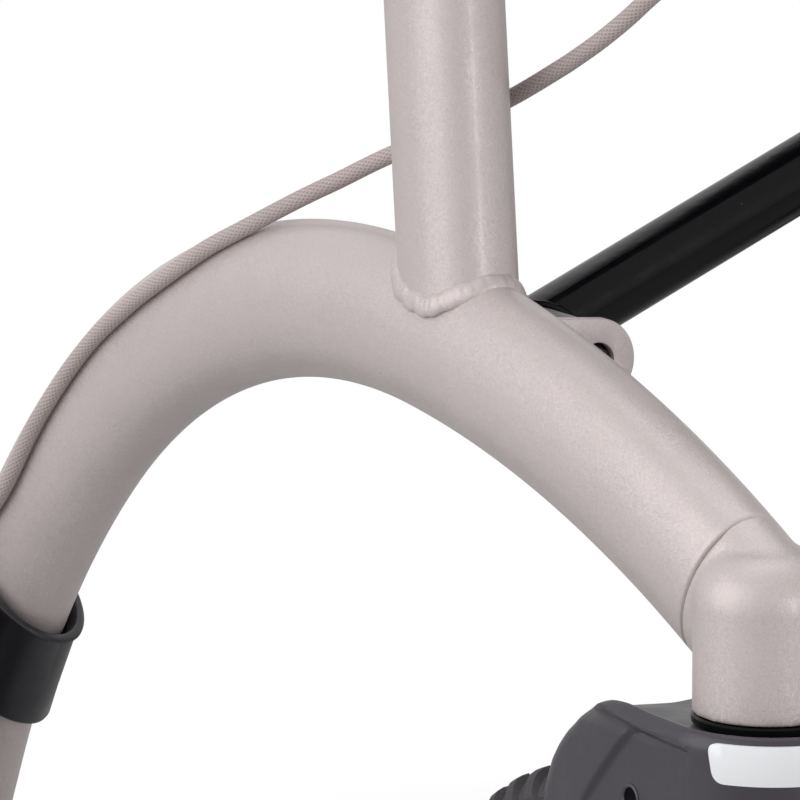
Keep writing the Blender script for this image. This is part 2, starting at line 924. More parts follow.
CHAMPAGNE = Finish("frame_paint", (0.570, 0.503, 0.497), 0.45, Grain.FLAKE, 0.00034, 0.00001,
                   metallic=0.28, coat=0.12, mottle=0.012)
SATIN_BLACK = Finish("black_paint", (0.0028, 0.0024, 0.0036), 0.20, Grain.PEBBLE, 0.0009,
                     0.00001, mottle=0.1, dust=0.02, shine=0.22)
CHARCOAL = Finish("grey_plastic", (0.044, 0.037, 0.048), 0.36, Grain.PEBBLE, 0.00045, 0.00004,
                  mottle=0.08, wear=0.25)
BLACK_PLASTIC = Finish("black_plastic", (0.0150, 0.0138, 0.0190), 0.38, Grain.PEBBLE, 0.0004,
                       0.00003, mottle=0.1, wear=0.2, shine=0.55)
SEAL = Finish("black_plastic", (0.0025, 0.0032, 0.0028), 0.24, Grain.PEBBLE, 0.0006, 0.00002,
              mottle=0.1, dust=0.05, shine=0.14)
TYRE = Finish("tyre", (0.044, 0.040, 0.045), 0.68, Grain.PEBBLE, 0.0008, 0.00008,
              mottle=0.16, wear=0.35)
GRIP = Finish("grip_rubber", (0.024, 0.024, 0.026), 0.62, Grain.PEBBLE, 0.0006, 0.00008,
              mottle=0.12, sheen=0.05)
REFLECTOR = Finish("reflector", (0.84, 0.845, 0.87), 0.20, Grain.PRISM, 0.0011, 0.000004,
                   coat=0.6, mottle=0.01)
ZINC = Finish("bright_steel", (0.60, 0.60, 0.61), 0.30, Grain.BRUSHED, 0.0006, 0.00001,
              metallic=1.0, edge=0.0003)
BLACK_STEEL = Finish("dark_steel", (0.045, 0.045, 0.05), 0.36, Grain.BRUSHED, 0.0007, 0.00001,
                     metallic=0.85, edge=0.0004, wear=0.2)
ANODISED = Finish("handle_tube", (0.30, 0.29, 0.29), 0.33, Grain.BRUSHED, 0.0005, 0.000008,
                  metallic=0.92, turn=(1.0, 1.0, 0.03))
BRAIDED = Finish("cable_braid", (0.49, 0.415, 0.405), 0.72, Grain.BRAID, 0.0025, 0.00012,
                 mottle=0.05)
WOVEN = Finish("seat_fabric", (0.034, 0.034, 0.037), 0.88, Grain.WEAVE, 0.0011, 0.00018,
               mottle=0.14, sheen=0.25)
WEBBING = Finish("webbing", (0.16, 0.14, 0.135), 0.82, Grain.TWILL, 0.0014, 0.0002,
                 mottle=0.08, sheen=0.15)
THREAD = Finish("seat_fabric", (0.16, 0.155, 0.155), 0.8, Grain.PEBBLE, 0.0003, 0.0001)


# Setting out

class Side(Enum):
    """The two side frames, with the sign of Y on which each stands."""

    RIGHT = -1
    LEFT = 1

    @property
    def prefix(self) -> str:
        """The first word of this side's names."""
        return self.name.lower() + "_"

    def point(self, x: float, v: float, z: float) -> Vector:
        """Return a point of side coordinates in the model's frame."""
        return Vector((x, self.value * (HALF_TRACK - v), z))

    def place(self, mesh: Mesh) -> Mesh:
        """Set a mesh out on this side.

        Args:
            mesh: The mesh in side coordinates, which stays as it is.

        Returns:
            A copy in the model's frame.
        """
        placed = mesh.copy()
        placed.transform(Matrix.Translation((0, self.value * HALF_TRACK, 0))
                         @ Matrix.Diagonal((1, -self.value, 1, 1)))
        if self is Side.LEFT:
            placed.flip_normals()
        return placed


@dataclass(frozen=True)
class Fitting:
    """A made piece: its mesh, its finish and what it stands for."""

    name: str
    mesh: Mesh
    finish: Finish
    body: str
    node: str | None = None
    smooth: float = 38.0


class Workshop:
    """Puts made pieces into the scene and fastens them to the frame."""

    def __init__(self, frame: dict[str, object]) -> None:
        """Keep the frame.
        """
        self.nodes: dict[str, Object] = frame["nodes"]

    def put(self, piece: Fitting, ride: bool = True) -> Object:
        """Add a piece that already lies in the model's frame.

        Args:
            piece: The piece.
            ride: Whether it rides on its body from now on.

        Returns:
            The piece's object.
        """
        mesh = piece.mesh
        mesh.name = piece.name
        mesh.materials.clear()
        mesh.materials.append(piece.finish.make())
        mesh.shade_smooth()
        mesh.set_sharp_from_angle(angle=math.radians(piece.smooth))
        made = stand(piece.name, mesh)
        if ride:
            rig.ride(made, piece.body)
        if piece.node:
            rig.replaces(made, piece.node)
        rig.slot(made, piece.finish.slot)
        LOG.info("%s: %d faces on %s", piece.name, len(mesh.polygons), piece.body)
        return made

    def put_side(self, piece: Fitting, side: Side, ride: bool = True) -> Object:
        """Add a piece from side coordinates on one side.

        Args:
            piece: The piece, whose names lack the side.
            side: The side.
            ride: Whether it rides on its body from now on.

        Returns:
            The piece's object.
        """
        start = side.prefix
        node = start + piece.node if piece.node else None
        return self.put(Fitting(start + piece.name, side.place(piece.mesh), piece.finish,
                                start + piece.body, node, piece.smooth), ride)

    def refinish(self, node: str, finish: Finish) -> None:
        """Give a kept frame node its finish.

        Args:
            node: The node's name.
            finish: Its finish.
        """
        kept = self.nodes[node]
        kept.data.materials.clear()
        kept.data.materials.append(finish.make())
        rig.slot(kept, finish.slot)
        LOG.info("%s: kept, with a new finish", node)


# The bent frame tube's route

@dataclass(frozen=True)
class Route:
    """The line of the oval frame tube: leg, arch and nose."""

    depth: float = 0.0462
    width: float = 0.0315
    foot: float = 0.0400
    straight: float = 0.0270
    leg_angle: float = 63.5
    lead: float = 0.0126
    shoulder: Flat = (0.369, 22.5)
    crown: Flat = (0.272, 46.8)
    nose: Flat = (0.501, 0.1673)
    neck_reach: float = 0.0162
    neck_drop: float = 0.0299
    trail: float = 0.065
    axle_height: float = 0.100
    sides: int = 80
    search: int = 60

    @property
    def bends(self) -> Line:
        """The radius and the length of each bend, from the leg to the nose."""
        return (*((radius, radius * math.radians(turn))
                  for radius, turn in (self.shoulder, self.crown)), self.nose)

    @property
    def seam(self) -> float:
        """The station at which the tube meets the caster head."""
        return sum((length for _, length in self.bends), self.straight)

    @property
    def axle_x(self) -> float:
        """Half the wheelbase."""
        return (self.lead + self.path(self.seam)[0] + self.neck_reach - self.trail) / 2

    @property
    def caster_x(self) -> float:
        """Where the caster swivels."""
        return self.axle_x + self.trail

    @property
    def rim_height(self) -> float:
        """The height of the caster head's lower rim."""
        return self.axle_height + self.path(self.seam)[1] - self.neck_drop

    def path(self, station: float) -> Triple:
        """Follow the tube from its start.

        Args:
            station: How far to go along it.

        Returns:
            The place from the tube's start (x, z), and the heading there.
        """
        heading = math.radians(self.leg_angle)
        run = min(station, self.straight)
        x, z, left = run * math.cos(heading), run * math.sin(heading), station - run
        for radius, length in (*self.bends[:2], (self.nose[0], math.inf)):
            run = min(left, length)
            if run <= 0:
                break
            onward = heading - run / radius
            x += radius * (math.sin(heading) - math.sin(onward))
            z += radius * (math.cos(onward) - math.cos(heading))
            heading, left = onward, left - run
        return x, z, heading

    def at(self, station: float) -> Triple:
        """Return the tube's centre (x, z) and heading, in the side plane."""
        x, z, heading = self.path(station)
        return x + self.lead - self.axle_x, z + self.axle_height, heading

    def section(self, extra: float = 0.0) -> list[Flat]:
        """Return the tube's outline, grown all round by extra."""
        return oval(self.depth + 2 * extra, self.width + 2 * extra, self.sides)

    def ring(self, station: float, extra: float = 0.0) -> Ring:
        """Return a section of the tube at a station, grown all round by extra."""
        return [self.beside(station, n, v) for n, v in self.section(extra)]

    def beside(self, station: float, out: float, v: float) -> Vector:
        """Return a point at a height out from the tube's axis."""
        return beside(self.at(station), out, v)

    def nearest(self, x: float, z: float) -> Flat:
        """Find the station nearest to a point of the side plane.

        Args:
            x: The point's first value.
            z: The point's height.

        Returns:
            The station, and the point's height over the tube's axis.
        """
        low, high = -self.foot, self.seam + 0.03
        for _ in range(3):
            step = (high - low) / self.search
            marks = [low + step * i for i in range(self.search + 1)]
            best = min(marks, key=lambda s: (self.at(s)[0] - x) ** 2 + (self.at(s)[1] - z) ** 2)
            low, high = best - step, best + step
        cx, cz, heading = self.at(best)
        return best, -(x - cx) * math.sin(heading) + (z - cz) * math.cos(heading)

    def flank(self, x: float, z: float) -> float:
        """Return how far the tube's side stands from its middle plane at a point."""
        rest = 1 - (self.nearest(x, z)[1] / (self.depth / 2)) ** 2
        return self.width / 2 * math.sqrt(max(rest, 0.0))


ROUTE = Route()


# Side frame

@dataclass
class FrameTubes:
    """The arch, the upright welded on it, the brace bracket and the cast head."""

    upright_depth: float = 0.0405
    upright_width: float = 0.0290
    squareness: float = 2.35
    upright_station: float = 0.4120
    lean: float = 5.8
    length: float = 0.351
    wall: float = 0.0020
    groove: float = 0.0009
    bead: float = 0.0030
    crest: float = 0.0013
    fillet: float = 0.0022
    weld_marks: int = 220
    bead_sides: int = 28
    hinge_inset: float = 0.0285
    hinge_drop: float = 0.0026
    ear_ahead: float = 0.0270
    ear_behind: float = 0.0268
    ear_thickness: float = 0.0038
    ear_radius: float = 0.0121
    ear_half: float = 0.0139
    web_half: float = 0.0105
    root_bead: float = 0.0015
    bolt_radius: float = 0.0040
    head_radius: float = 0.0198
    head_height: float = 0.0440
    head_rounding: float = 0.0150
    neck_length: float = 0.0200
    neck_end: float = 0.0080
    blend: float = 0.0012

    @property
    def foot(self) -> Flat:
        """Where the upright's axis meets the frame tube's."""
        return ROUTE.at(self.upright_station)[:2]

    @property
    def hinge_height(self) -> float:
        """The height of the lower hinge of the brace."""
        return self.foot[1] - self.hinge_drop

    def upright_point(self, distance: float) -> Flat:
        """Return the upright's centre at a distance along it."""
        lean = math.radians(self.lean)
        return (self.foot[0] - distance * math.sin(lean),
                self.foot[1] + distance * math.cos(lean))

    def upright_ring(self, distance: float, extra: float = 0.0) -> Ring:
        """Return a section square to the upright.

        Args:
            distance: Where it is, along the upright.
            extra: How far it is grown all round.

        Returns:
            The section.
        """
        x, z = self.upright_point(distance)
        lean = math.radians(self.lean)
        return [Vector((x + n * math.cos(lean), v, z + n * math.sin(lean)))
                for n, v in oval(self.upright_depth + 2 * extra, self.upright_width + 2 * extra,
                                 96, self.squareness)]

    def arch(self) -> Mesh:
        """Build the bent oval tube, with a chamfer at the seam.

        Returns:
            The tube.
        """
        end = ROUTE.seam - GAP / 2
        rings = [ROUTE.ring(mark) for mark in spread(-ROUTE.foot, end - 0.0022, 150)]
        rings += [ROUTE.ring(end - self.groove), ROUTE.ring(end - 0.0004, -0.00028),
                  ROUTE.ring(end, -0.0009)]
        return skin(rings)

    def upright(self) -> Mesh:
        """Build the upright, open at its top.

        Returns:
            The tube.
        """
        marks = [(mark, 0.0) for mark in (0.0125, *spread(0.03, self.length, 24))]
        return sheath(self.upright_ring, [*marks, (self.length, -self.wall),
                                          (self.length - 0.03, -self.wall)])

    def weld_line(self) -> list[tuple[Vector, float]]:
        """Trace where the upright meets the frame tube.

        Returns:
            Points on that line, each with its angle round the upright.
        """
        lean, count = math.radians(self.lean), self.weld_marks
        traced = []
        for i, (n, v) in enumerate(oval(self.upright_depth, self.upright_width, count,
                                        self.squareness)):
            low, high = -0.02, 0.06
            for _ in range(22):
                middle = (low + high) / 2
                x, z = self.upright_point(middle)
                x, z = x + n * math.cos(lean), z + n * math.sin(lean)
                over = ROUTE.nearest(x, z)[1]
                inside = (over / (ROUTE.depth / 2)) ** 2 \
                    + (v / (ROUTE.width / 2 + self.fillet)) ** 2 < 1
                low, high = (middle, high) if inside else (low, middle)
            traced.append((Vector((x, v, z)), 2 * math.pi * i / count))
        return traced

    def weld(self) -> Mesh:
        """Lay the broad, soft and uneven bead round the foot of the upright.

        Returns:
            The bead.
        """
        spots = self.weld_line()
        lean, count = math.radians(self.lean), len(spots)
        steps = [(point - spots[i - 1][0]).length for i, (point, _) in enumerate(spots)]
        whole, travelled, rings = sum(steps), 0.0, []
        for i, (point, angle) in enumerate(spots):
            travelled += steps[i]
            run = (spots[(i + 1) % count][0] - spots[i - 1][0]).normalized()
            c, s = math.cos(angle), math.sin(angle)
            power = 2 - 2 / self.squareness
            c, s = (math.copysign(abs(part) ** power, part) for part in (c, s))
            wall = Vector((c * math.cos(lean) / self.upright_depth, s / self.upright_width,
                           c * math.sin(lean) / self.upright_depth)).normalized()
            station, over = ROUTE.nearest(point.x, point.z)
            heading = ROUTE.at(station)[2]
            rise = over / ROUTE.depth ** 2
            bed = Vector((-rise * math.sin(heading), point.y / ROUTE.width ** 2,
                          rise * math.cos(heading))).normalized()
            out = (wall + bed).normalized()
            across = run.cross(out)
            corner = 1 - max(0.0, wall.dot(bed))
            turn = 2 * math.pi * travelled / whole
            lumps = (0.5 * math.sin(19 * turn + 2.5 * math.sin(5 * turn))
                     + 0.5 * math.sin(33 * turn + 3.0 * math.sin(4 * turn)))
            wide = self.bead * (1 + 0.30 * corner + 0.09 * lumps)
            high = self.crest * (1 + 0.9 * corner + 0.09 * math.sin(27 * turn + 3 * lumps))
            spot = point + across * 0.0004 * math.sin(11 * turn + 2 * math.sin(4 * turn))
            rings.append([spot + across * wide * math.cos(a) + out * math.sin(a)
                          * (high if math.sin(a) > 0 else 2 * self.crest)
                          for a in turns(self.bead_sides)])
        return skin(rings, looped=True)

    @property
    def hinge(self) -> Flat:
        """Where the lower hinge's axis crosses a plane square to X."""
        return self.hinge_inset, self.hinge_height

    @property
    def ear_span(self) -> Flat:
        """The outer faces of the two ears, the rear one first."""
        return self.foot[0] - self.ear_behind, self.foot[0] + self.ear_ahead

    def bracket(self) -> Mesh:
        """Build the two ears, the web between them and the beads at their roots.

        Returns:
            The bracket.
        """
        nose = arc((self.hinge_inset, 0.0), self.ear_radius, 78, -78, 26)
        outline = [(v, self.hinge_height + z) for v, z in
                   [(0.008, self.ear_half), *nose, (0.008, -self.ear_half)]]
        rear, front = self.ear_span
        hole = rod("X", self.bolt_radius + 0.0012, self.hinge, rear - 0.01, front + 0.01)
        ears = [soften(cut(prism(outline, low, low + self.ear_thickness, "X"), hole), 0.0006)
                for low in (front - self.ear_thickness, rear)]
        web = prism([(x, self.hinge_height + z) for x, z in (
            (rear + 0.001, -self.web_half), (front - 0.001, -self.web_half),
            (front - 0.001, self.web_half), (rear + 0.001, self.web_half))],
            0.006, self.hinge_inset - 0.0112)
        beads, steps = [], 44
        sizes = [self.root_bead * (0.9 + 0.16 * abs(math.sin(i * 0.55)) + 0.08 * math.sin(i * 1.7))
                 for i in range(steps + 1)]
        for x in (front + 0.0002, rear - 0.0002):
            heights = [self.hinge_height - 0.0125 + 0.0258 * i / steps for i in range(steps + 1)]
            beads.append(sweep([Vector((x, ROUTE.flank(x, z) + 0.0004, z)) for z in heights],
                               sizes, 12))
        return gather(*ears, soften(web, 0.0006), *beads)

    def bolt(self) -> Mesh:
        """Build the hinge bolt with its hexagon head and socket.

        Returns:
            The bolt.
        """
        rear, front = self.ear_span
        shank = rod("X", self.bolt_radius, self.hinge, rear - 0.001, front - 0.0004, 32, 0.0004)
        socket = rod("X", 0.0021, self.hinge, front - 0.003, front + 0.01, 6)
        head = rod("X", self.bolt_radius * 1.7, self.hinge, rear - 0.0048, rear - 0.0003, 6)
        return gather(cut(shank, socket), soften(head, 0.0005))

    def head_field(self, places: np.ndarray) -> np.ndarray:
        """Measure how far points are outside the head's blended surface.

        Args:
            places: Points in side coordinates.

        Returns:
            A distance for each point, negative inside.
        """
        top = ROUTE.rim_height + self.head_height
        x, v, z = places.T
        across = np.hypot(x - ROUTE.caster_x, v) - (self.head_radius - self.head_rounding)
        above = z - (top - self.head_rounding)
        barrel = (np.hypot(np.maximum(across, 0), np.maximum(above, 0))
                  + np.minimum(np.maximum(across, above), 0) - self.head_rounding)
        cx, cz, heading = ROUTE.at(ROUTE.seam)
        radius = ROUTE.nose[0]
        mx, mz = cx + radius * math.sin(heading), cz - radius * math.cos(heading)
        over = np.hypot(x - mx, z - mz) - radius
        run = -radius * (np.arctan2(z - mz, x - mx) - math.atan2(cz - mz, cx - mx))
        a, b = ROUTE.depth / 2, ROUTE.width / 2
        unit = np.hypot(over / a, v / b)
        steep = np.hypot(over / a ** 2, v / b ** 2)
        neck = unit * (unit - 1) / np.maximum(steep, 1e-6)
        past, soft = run - self.neck_length, self.neck_end
        share = np.clip(0.5 + 0.5 * (past - neck) / soft, 0, 1)
        neck = neck * (1 - share) + past * share + soft * share * (1 - share)
        share = np.clip(0.5 + 0.5 * (neck - barrel) / self.blend, 0, 1)
        return neck * (1 - share) + barrel * share - self.blend * share * (1 - share)

    def head(self) -> Mesh:
        """Build the cast head: barrel and neck run into each other without a line.

        Returns:
            The head.
        """
        rim, top = ROUTE.rim_height, ROUTE.rim_height + self.head_height
        curve = arc((self.head_radius - self.head_rounding, top - self.head_rounding),
                    self.head_rounding, 0, 88, 16)
        barrel = revolve([(self.head_radius, rim), *curve], 96, (ROUTE.caster_x, 0, 0))
        start = ROUTE.seam + GAP / 2
        rings = [ROUTE.ring(start, -0.0007), ROUTE.ring(start + 0.0006)]
        rings += [ROUTE.ring(start + 0.0006 + 0.0215 * i / 12) for i in range(1, 13)]
        below = prism([(ROUTE.caster_x + x, rim + z) for x, z in (
            (-0.06, -0.03), (0.06, -0.03), (0.06, 0.0), (-0.06, 0.0))], -0.03, 0.03)
        mesh = remould(cut(fuse(barrel, skin(rings)), below), FINE_VOXEL, 0)
        places = corners_of(mesh)
        cx, cz, heading = ROUTE.at(ROUTE.seam)
        run = (places[:, 0] - cx) * math.cos(heading) + (places[:, 2] - cz) * math.sin(heading)
        free = ((run > 0.0012) | (places[:, 0] > ROUTE.caster_x - 0.008)) \
            & (places[:, 2] > rim + 0.0007)
        step = 1e-5
        for _ in range(4):
            value = self.head_field(places)
            slope = np.stack([(self.head_field(places + step * np.eye(3)[k]) - value) / step
                              for k in range(3)], 1)
            size = np.maximum((slope ** 2).sum(1), 0.2)
            places -= np.where(free, value, 0.0)[:, None] * slope / size[:, None]
        return set_corners(mesh, places)

    def fittings(self) -> list[Fitting]:
        """Build every piece of one side's tubes.

        Returns:
            The pieces, in side coordinates.
        """
        return [Fitting("arch", self.arch(), CHAMPAGNE, "frame", "arch_tube", 50.0),
                Fitting("upright", self.upright(), CHAMPAGNE, "frame", "upright_tube", 50.0),
                Fitting("weld_bead", self.weld(), CHAMPAGNE, "frame", None, 80.0),
                Fitting("bracket", self.bracket(), CHAMPAGNE, "frame", "brace_bracket"),
                Fitting("lower_bolt", self.bolt(), BLACK_STEEL, "frame", "hinge_bolt"),
                Fitting("head", self.head(), CHAMPAGNE, "frame", "caster_head", 60.0)]


TUBES = FrameTubes()


# More shapes for mouldings

def curved(points: Sequence[Flat], spacing: float = 0.0025) -> list[Flat]:
    """Run a smooth curve through flat points."""
    return [(p.x, p.z) for p in smooth_route([(a, 0.0, b) for a, b in points], spacing)]


def rounded(corners: Sequence[Flat], radius: float, steps: int = 6) -> list[Flat]:
    """Round the corners of a flat outline.

    Args:
        corners: The outline's corners in order.
        radius: How far each rounding reaches from its corner.
        steps: Facets in each rounding.

    Returns:
        The rounded outline.
    """
    outline = []
    for i, corner in enumerate(corners):
        here = Vector(corner)
        one = Vector(corners[i - 1]) - here
        two = Vector(corners[(i + 1) % len(corners)]) - here
        start = here + one.normalized() * min(radius, one.length * 0.45)
        end = here + two.normalized() * min(radius, two.length * 0.45)
        for k in range(steps + 1):
            t = k / steps
            at = start * (1 - t) ** 2 + here * 2 * t * (1 - t) + end * t * t
            outline.append((at.x, at.y))
    return outline


def ease(value: np.ndarray, low: float, high: float) -> np.ndarray:
    """Return a smooth step from 0 at low to 1 at high."""
    share = np.clip((value - low) / (high - low), 0, 1)
    return share * share * (3 - 2 * share)


def depth_inside(outline: Sequence[Flat], x: np.ndarray, z: np.ndarray) -> np.ndarray:
    """Measure how far points lie inside a flat outline.

    Args:
        outline: The outline's corners in order.
        x: The points' first values.
        z: The points' second values.

    Returns:
        A distance for each point, negative outside.
    """
    corners = np.array(outline)
    near, inside = np.full(len(x), 1.0), np.zeros(len(x), bool)
    for (ax, az), (bx, bz) in zip(corners, np.roll(corners, -1, 0)):
        rx, rz = bx - ax, bz - az
        share = np.clip(((x - ax) * rx + (z - az) * rz) / max(rx * rx + rz * rz, 1e-12), 0, 1)
        near = np.minimum(near, np.hypot(x - ax - share * rx, z - az - share * rz))
        if az != bz:
            inside ^= ((az > z) != (bz > z)) & (x < ax + (z - az) * rx / rz)
    return np.where(inside, near, -near)


def moved(mesh: Mesh, x: float, v: float, z: float) -> Mesh:
    """Return a copy of a mesh carried to a place.

    Args:
        mesh: The mesh, which stays as it is.
        x: How far it goes forwards.
        v: How far it goes inboard.
        z: How far it goes up.

    Returns:
        The copy.
    """
    copy = mesh.copy()
    copy.transform(Matrix.Translation((x, v, z)))
    return copy


def axle_pin(radius: float, low: float, high: float, head: float) -> Mesh:
    """Build an axle bolt along v with a domed, socketed head at each end.

    Args:
        radius: The shank's radius.
        low: Where the shank starts.
        high: Where it ends.
        head: The height of each head.

    Returns:
        The bolt, on its own axis.
    """
    wide = radius * 1.7
    dome = [(wide * 0.50, 1.0), (wide * 0.72, 0.92), (wide * 0.90, 0.68), (wide, 0.30),
            (wide, 0.0)]
    profile = [(r, low - head * h) for r, h in dome]
    profile += [(radius, low), (radius, high)]
    profile += [(r, high + head * h) for r, h in reversed(dome)]
    sockets = [rod("Y", radius * 0.52, (0, 0), a, b, 6)
               for a, b in ((low - head - 0.01, low - head * 0.2),
                            (high + head * 0.2, high + head + 0.01))]
    return cut(revolve(profile, 48, axis="Y"), *sockets)


@dataclass
class Caster:
    """The moulded fork with its reflector, stem and axle."""

    half_width: float = 0.0290
    front: float = 0.0300
    gap: float = 0.0015
    well_radius: float = 0.1042
    well_half: float = 0.0205
    panel_depth: float = 0.0018
    boss: float = 0.0195
    axle_radius: float = 0.0050
    stem_radius: float = 0.0060
    dish: float = 0.0019
    valley: float = 0.0032
    saddle: float = 0.0026
    lip: float = 0.0008
    rise: float = 0.0012
    ridge: float = 0.0008
    groove: float = 0.0009
    seal: float = 0.0201
    band_top: float = 66.0
    band_foot: float = 62.0
    band_high: float = -0.0028
    band_low: float = -0.0135
    shoulder: Flat = (0.0036, 0.097)
    squareness: float = 4.5
    sides: int = 96
    recess: float = 0.0024
    lens: Flat = (0.0020, 0.0003)
    stem_depth: float = 0.0263
    axle_head: float = 0.0035
    screw: Flat = (-0.369, -0.200)
    screw_radius: float = 0.0031
    waist: float = 0.0009
    rear: Line = ((0.0015, 0.554), (0.0026, 0.700), (0.0057, 0.830), (0.0104, 0.962),
                  (0.0159, 1.066), (0.0213, 1.149), (0.0260, 1.206), (0.0353, 1.274),
                  (0.1600, 1.400))
    levels: tuple[float, ...] = (0.045, 0.06, 0.08, 0.1, 0.123, 0.165, 0.201, 0.237, 0.273, 0.4,
                                 0.6, 0.9, 1.237)
    leg_front: Line = ((0.523, -0.135), (0.308, -0.240), (-0.077, -0.402), (-0.415, -0.588),
                       (-0.615, -0.773))
    leg_back: Line = ((-1.290, -0.773), (-1.420, -0.541), (-1.500, -0.309), (-1.500, -0.116))
    panel: Line = ((0.092, -0.048), (-0.306, -0.048), (-0.420, -0.082), (-0.574, -0.158),
                   (-0.729, -0.244), (-0.923, -0.387), (-1.015, -0.572), (-0.923, -0.758),
                   (-0.692, -0.681), (-0.462, -0.503), (-0.123, -0.325), (0.062, -0.201))

    @property
    def hub(self) -> Flat:
        """The wheel's centre."""
        return ROUTE.caster_x - ROUTE.trail, ROUTE.axle_height

    @property
    def face(self) -> float:
        """How far the sunk panels stand from the side plane."""
        return self.half_width - self.panel_depth

    @property
    def drop(self) -> float:
        """From the head's rim down to the axle."""
        return ROUTE.rim_height - ROUTE.axle_height

    def line(self, *shares: Flat) -> list[Flat]:
        """Return side-view points given as shares of the trail and of the drop."""
        return [(ROUTE.caster_x + a * ROUTE.trail, ROUTE.rim_height + b * self.drop)
                for a, b in shares]

    def plan(self, z: float, wide: float = 1.0) -> Ring:
        """Draw a level outline: round in front, square behind.

        Args:
            z: Its height over the head's rim.
            wide: Its width and front, as a share of the whole ones.

        Returns:
            The outline.
        """
        rear = ROUTE.trail * float(np.interp(-z, *zip(*self.rear)))
        points, power = [], 2 / self.squareness
        for i in range(self.sides):
            angle = math.radians(-90 + 360 * i / self.sides)
            c, s = math.cos(angle), math.sin(angle)
            if i < self.sides // 2:
                points.append((self.front * wide * c, self.half_width * wide * s))
            else:
                points.append((-rear * abs(c) ** power, self.half_width * wide
                               * math.copysign(abs(s) ** power, s)))
        return [Vector((ROUTE.caster_x + x, v, ROUTE.rim_height + z)) for x, v in points]

    def shell(self) -> Mesh:
        """Build the fork's plain form: level outlines cut to the side view, with the well.

        Returns:
            The moulded form.
        """
        down, inwards = self.shoulder
        rings = []
        for k in range(7):
            turn = math.pi / 2 * k / 6
            rings.append(self.plan(-self.gap - down * (1 - math.cos(turn)),
                                   1 - inwards * (1 - math.sin(turn))))
        rings += [self.plan(-share * self.drop) for share in self.levels]
        side = [*self.line((0.523, 0.031)), *curved(self.line(*self.leg_front)),
                *arc(self.hub, self.boss, 18, -198, 40), *curved(self.line(*self.leg_back)),
                *self.line((-1.400, 0.031))]
        block = combine(skin(rings), [prism(side, -0.035, 0.035)], "INTERSECT")
        well = rod("Y", self.well_radius, self.hub, -self.well_half, self.well_half, 160)
        return remould(cut(block, well), FINE_VOXEL, 5)

    def carve(self, body: Mesh) -> Mesh:
        """Shape the crown's dish, lip and saddle, the waist and the sunk side panels.

        Args:
            body: The fork's plain form.

        Returns:
            The same mesh, carved.
        """
        places = corners_of(body)
        back = ROUTE.caster_x - places[:, 0]
        level = places[:, 2] - ROUTE.rim_height
        across = np.abs(places[:, 1])
        edge = np.hypot(np.maximum(-back, 0) / self.front, across / self.half_width)
        deep = self.dish + (self.valley - self.dish) * ease(back, 0.0, 0.032)
        places[:, 2] -= deep * (1 - ease(edge, 0.66, 0.90)) * ease(level, -0.020, -0.003)
        rim = np.exp(-((edge - 0.92) / 0.038) ** 2) * (1 - ease(back, 0.034, 0.060))
        places[:, 2] += self.lip * rim * ease(level, -0.0075, -0.0030)
        middle = 1 - np.minimum(across / self.half_width, 1) ** 1.3
        places[:, 2] += (self.rise - self.saddle * middle) * ease(back, 0.012, 0.034) \
            * ease(level, -0.014, -0.004)
        waist = np.exp(-((level + 0.0070) / 0.0014) ** 2) - (self.ridge / self.waist) \
            * np.exp(-((level + 0.0045) / 0.0010) ** 2)
        waist *= ease(across, 0.022, 0.026) * ease(back, 0.004, 0.016) \
            * (1 - ease(back, 0.044, 0.058))
        over = np.maximum(0, across - self.face) * ease(
            depth_inside(curved(self.line(*self.panel)), places[:, 0], places[:, 2]),
            -0.0005, 0.0012)
        places[:, 1] -= np.sign(places[:, 1]) * (over + self.waist * waist)
        return set_corners(body, places)

    def housing(self) -> Mesh:
        """Build the fork: a saddle-shaped crown, two legs, panels and a screw pocket.

        Returns:
            The fork.
        """
        body, face, rim = self.carve(self.shell()), self.face, ROUTE.rim_height
        (x, z), r = self.line(self.screw)[0], self.screw_radius
        pockets = [rod("Y", r, (x, z), out * (face - 0.0035), out * 0.04, 36)
                   for out in (-1, 1)]
        rings = [revolve([(r + wide, out * (face + high)) for wide, high in (
            (0.0, -0.001), (0.0, 0.0002), (0.0005, 0.0005), (0.0010, 0.0002),
            (0.0010, -0.001))], 36, (x, 0, z), "Y", True) for out in (-1, 1)]
        holes = [rod("Y", self.axle_radius + GAP, self.hub, -0.04, 0.04, 48),
                 rod("Z", self.stem_radius + GAP, (ROUTE.caster_x, 0), rim - self.stem_depth,
                     rim, 48)]
        moulded = cut(body, *pockets, self.band(self.groove, self.front - self.recess,
                                                self.front + 0.006), *holes)
        return gather(moulded, *rings)

    def band(self, grow: float, inner: float, outer: float) -> Mesh:
        """Wrap a plate with rounded corners round the front of the fork.

        Args:
            grow: How much larger it is all round than the reflector.
            inner: Its inner radius.
            outer: Its outer radius.

        Returns:
            The bent plate.
        """
        top = self.front * math.radians(self.band_top) + grow
        foot = self.front * math.radians(self.band_foot) + grow
        high = ROUTE.rim_height + self.band_high + grow
        low = ROUTE.rim_height + self.band_low - grow
        outline = rounded([(-top, high), (top, high), (foot, low), (-foot, low)], 0.0034, 7)
        work = bmesh.new()
        work.from_mesh(prism(outline, inner, outer))
        for i in range(-20, 21):
            bmesh.ops.bisect_plane(work, geom=work.verts[:] + work.edges[:] + work.faces[:],
                                   plane_co=(top * i / 20.5, 0, 0), plane_no=(1, 0, 0))
        narrow = self.half_width / self.front
        for vert in work.verts:
            along, radius, z = vert.co
            turn = along / self.front
            vert.co = (ROUTE.caster_x + radius * math.cos(turn),
                       narrow * radius * math.sin(turn), z)
        bmesh.ops.recalc_face_normals(work, faces=work.faces)
        return finished(work)

